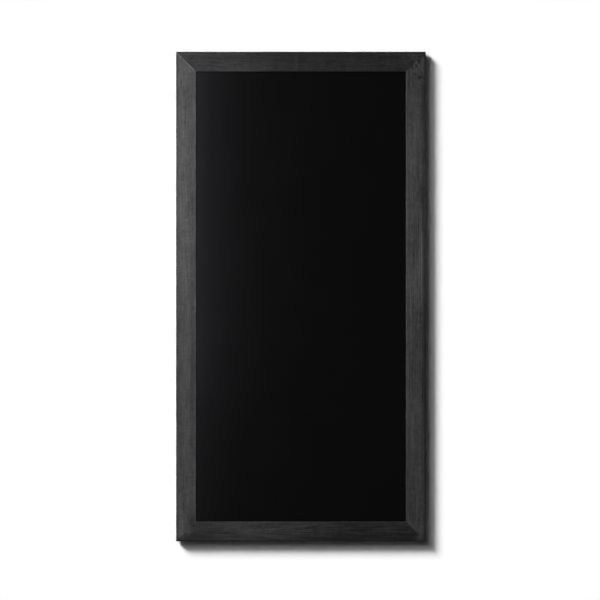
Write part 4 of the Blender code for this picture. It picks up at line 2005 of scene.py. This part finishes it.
    def build_world(self) -> None:
        """A white world for the rays that are shown, and a dim one for the light on the board."""
        world = bpy.data.worlds.new("studio_air")
        world.use_nodes = True
        bpy.context.scene.world = world
        sheet = NodeSheet("air_nodes")
        sheet_material, sheet.tree = sheet.material, world.node_tree
        shown = self.shown_rays(sheet)
        strength = sheet.node("ShaderNodeMix", {0: shown, 2: self.dim, 3: 1.0}, data_type="FLOAT").outputs[0]
        background = world.node_tree.nodes["Background"]
        background.inputs["Color"].default_value = (1.0, 1.0, 1.0, 1.0)
        world.node_tree.links.new(strength, background.inputs["Strength"])
        bpy.data.materials.remove(sheet_material)

    def build_lamps(self) -> None:
        """Hangs the far lamps, the slim lamps along the left stile and two lamps for the back.

        A far lamp's power is its share of a full light on the front, times π, over the cosine of its
        slope.
        """
        middle = self.board.middle_z
        for name, slope_x, slope_z, angle, share in self.far_lamps:
            far = bpy.data.lights.new(name, "SUN")
            far.angle = math.radians(angle)
            far.energy = share * math.pi * math.hypot(1.0, slope_x, slope_z)
            hang(far, (-slope_x, -1.0, middle + slope_z), (0, 0, middle))
        for name, low, high, radiance in self.strips:
            strip_z = middle + (low + high) / 2
            place, target = (self.strip_x, self.strip_y, strip_z), (self.strip_x, 0, strip_z)
            self.keep_off_stage(Lamp(name, place, target, self.strip_width, high - low, radiance).build())
        for name, x, y, above, radiance in self.back_lamps:
            place, target = (x, y, middle + above), (0, 0, middle)
            Lamp(name, place, target, self.back_size, self.back_size, radiance).build()

    def keep_off_stage(self, lamp: bpy.types.Object) -> None:
        """Lets a lamp light all but the wall and the floor, so that these keep one soft shadow.

        Args:
            lamp: The lamp.
        """
        unlit = bpy.data.collections.new(f"{lamp.name}_leaves_dark")
        for plane in self.planes:
            unlit.objects.link(plane)
        lamp.light_linking.receiver_collection = unlit
        for entry in unlit.collection_objects:
            entry.light_linking.link_state = "EXCLUDE"

    def build_camera(self) -> None:
        """Stands the camera square on, where a pixel of the image spans the board's known size.

        The distance is the pixel's size times the image's pixels times the lens over the sensor.
        """
        front_y = self.board.back_y - self.board_depth
        distance = self.pixel * self.image_side * self.lens / self.sensor
        camera = bpy.data.objects.new("square_camera", bpy.data.cameras.new("square_camera"))
        camera.data.lens = self.lens
        camera.data.sensor_width = self.sensor
        right, high = (pixels * self.pixel for pixels in self.off_centre)
        camera.location = (-right, front_y - distance, self.board.middle_z - high)
        camera.rotation_euler = (math.pi / 2, 0, 0)
        bpy.context.scene.collection.objects.link(camera)
        bpy.context.scene.camera = camera

    def build(self) -> None:
        """Builds the stage, the light and the camera."""
        bpy.context.scene.view_settings.view_transform = "Standard"
        self.build_stage()
        self.build_world()
        self.build_lamps()
        self.build_camera()


# The whole board


def top_rail(board: Board) -> Rail:
    """The top rail: close grain, painted darkest left of its middle as shade where the light from the left
    falls off, with small knots and a burr at its end.

    Args:
        board: The frame of rails.

    Returns:
        The rail.
    """
    knots = knots_in_mm(
        (-12, 24, 4, 24, 1.2, -0.60),
        (-3, 22, 6, 20, 0.0, 0.30),
        (-244, 20, 9, 7, 1.6, 0.15),
        (300, 11, 24, 9, 1.0, -0.90, 0.4),
        (310, 24, 22, 18, 0.0, -0.60, 0.9),
    )
    grain = Grain(11, 70 * MM, 12 * MM, 0.03, 7 * MM, 3.1 * MM, knots)
    wood = StainedWood(
        dark=(0.0025, 0.0025, 0.0026), light=(0.0220, 0.0220, 0.0222), worn=(0.036, 0.0355, 0.035),
        contrast=1.6, figure=0.6, streaks=0.40, bands=0.18, mottle=0.40, streak_length=0.06,
    )
    # The stops paint shade from left of the middle on, where the light from the left falls off.
    stops = (
        (-1.0, -0.05), (-0.5, -0.05), (-0.35, 0.12), (-0.2, 0.45),
        (-0.08, 0.48), (0.05, 0.36), (0.6, 0.1), (1.0, -0.1),
    )
    return Rail(board, Side.TOP, grain, wood, StainAndPaintedShade(0.0, stops), Wear(0.10, (0.15, 0.0)))


def right_stile(board: Board) -> Rail:
    """The right stile: long streaks, a painted shade on its outer side with a lighter line, and burrs near
    both ends.

    Args:
        board: The frame of rails.

    Returns:
        The rail.
    """
    knots = knots_in_mm(
        (-622, 24, 26, 20, 0.6, -0.12, 0.85),
        (-582, 15, 26, 13, 0.6, 0.10, 0.50, 9),
        (-612, 3, 28, 9, 0.0, -0.60),
        (-311, 1.6, 210, 1.7, 0.0, -2.00),
        (-150, 6.6, 400, 2.0, 0.0, 0.30),
        (-85, 12.0, 260, 2.2, 0.0, -0.45),
        (612, 24, 22, 16, 0.8, -0.22, 0.30),
    )
    grain = Grain(23, -45 * MM, 22 * MM, 0.015, 5 * MM, 2.6 * MM, knots)
    wood = StainedWood(
        dark=(0.013, 0.013, 0.0132), light=(0.073, 0.073, 0.0733), worn=(0.105, 0.105, 0.106),
        contrast=1.8, figure=0.4, streaks=0.55, bands=0.18, clouds=0.30, mottle=0.24, streak_length=0.16,
    )
    stops = (
        (-1.0, 0.2), (-0.85, 0.1), (-0.7, 0.0), (-0.5, -0.12),
        (0.0, -0.15), (0.3, -0.06), (0.9, 0.0), (0.96, -0.1),
    )
    # A painted shade of 0.5 reaches 11.5 mm in from the outer arris.
    return Rail(board, Side.RIGHT, grain, wood, StainAndPaintedShade(0.5, stops, 11.5 * MM), Wear(0.35, (0.0, 0.05)))


def bottom_rail(board: Board) -> Rail:
    """The bottom rail: wide rings, painted lighter to the left where the light from the left falls, with a
    painted shade on its outer side and soft mitres.

    Args:
        board: The frame of rails.

    Returns:
        The rail.
    """
    knots = knots_in_mm(
        (236, 30, 36, 15, 0.8, 0.35),
        (-85, 7, 75, 6, 0.0, 0.40),
        (-60, 48, 120, 9, 0.0, -0.15),
        (120, 9, 110, 5, 0.0, 0.14),
        (-319, 8, 11, 13, 0.0, -1.60, 0.4),
        (-284, 45, 20, 9, 0.0, -0.90),
        (-280, 18, 26, 13, 0.0, 0.35),
        (299, 27, 9, 10, 0.0, -1.00),
        (315, 12, 10, 9, 0.0, -1.00),
    )
    grain = Grain(37, 24 * MM, 8 * MM, 0.05, 6 * MM, 5.2 * MM, knots)
    wood = StainedWood(
        dark=(0.0035, 0.0035, 0.0036), light=(0.0275, 0.0275, 0.0277), worn=(0.040, 0.0395, 0.039),
        contrast=1.8, figure=0.4, streaks=0.68, bands=0.32, rings=0.13, mottle=0.24, streak_length=0.12,
    )
    # The stops paint light on the rail left of its middle, where the light from the left falls.
    stops = (
        (-1.0, -0.1), (-0.4, -0.1), (-0.1, -0.2), (0.1, -0.5),
        (0.45, -0.58), (0.6, -0.2), (0.8, 0.0), (1.0, 0.15),
    )
    # A painted shade of 0.42 reaches 17 mm in from the outer arris.
    return Rail(board, Side.BOTTOM, grain, wood, StainAndPaintedShade(0.42, stops, 17 * MM), Wear(0.45, (0.2, 0.0)))


def left_stile(board: Board) -> Rail:
    """The left stile: lively figure, a darker inner side, and a large knot at its lower end.

    Args:
        board: The frame of rails.

    Returns:
        The rail.
    """
    knots = knots_in_mm(
        (172, 22, 12, 12, 2.0, 0.22),
        (158, 36, 16, 8, 0.0, -0.22),
        (0, 43.5, 2000, 7, 0.0, 0.26),
        (-270, 34, 14, 9, -1.8, 0.1),
        (-632, 17, 24, 9, 1.0, -0.75, 0.5),
        (-600, 46, 26, 14, 0.0, 0.55),
        (-590, 12, 30, 5, 0.0, -0.20, 0.3),
    )
    grain = Grain(53, 88 * MM, 26 * MM, 0.02, 6 * MM, 2.8 * MM, knots)
    wood = StainedWood(
        dark=(0.009, 0.009, 0.0092), light=(0.0445, 0.0445, 0.0447), worn=(0.150, 0.150, 0.151),
        contrast=1.4, figure=0.9, streaks=0.46, bands=0.22, mottle=0.30, streak_length=0.06,
    )
    stops = (
        (-1.0, -0.15), (-0.93, -0.42), (-0.8, -0.38), (-0.73, -0.05), (-0.55, 0.06),
        (-0.35, 0.18), (-0.15, 0.14), (0.1, 0.0), (0.5, -0.08),
    )
    # A painted shade of 0.25 lies along the outer arris.
    return Rail(board, Side.LEFT, grain, wood, StainAndPaintedShade(0.25, stops), Wear(0.3, (0.1, 0.45)))


def main() -> None:
    """Builds every sub-assembly in order."""
    logging.basicConfig(level=logging.INFO, format="%(message)s")
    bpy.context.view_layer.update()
    board = Board.measured()
    sheet_steel = ZincSteel("rolled_zinc_sheet", drawn=(300, 300, 2600)).material()
    wire_steel = ZincSteel("drawn_zinc_wire", drawn=(500, 500, 500), roughness=(0.40, 0.22)).material()
    screw_steel = ZincSteel("turned_zinc_screw", drawn=(900, 3200, 900), roughness=(0.42, 0.24)).material()
    nails = CornerNails(board, sheet_steel)
    grooves = nails.grooves()
    for make_rail in (top_rail, right_stile, bottom_rail, left_stile):
        make_rail(board).build(grooves)
    bpy.data.objects.remove(grooves, do_unlink=True)
    nails.build()
    WritingPanel(ChalkCoat().material(), Fibreboard().material()).build()
    FlatPoints(board, sheet_steel).build()
    Hanger(Hand.LEFT, sheet_steel, wire_steel, screw_steel, (0.2, 0.9)).build()
    Hanger(Hand.RIGHT, sheet_steel, wire_steel, screw_steel, (0.6, 0.05)).build()
    Bumpers(BumperRubber().material(), AdhesiveFilm().material()).build(board.back_y)
    Studio(board).build()


if __name__ == "__main__":
    main()
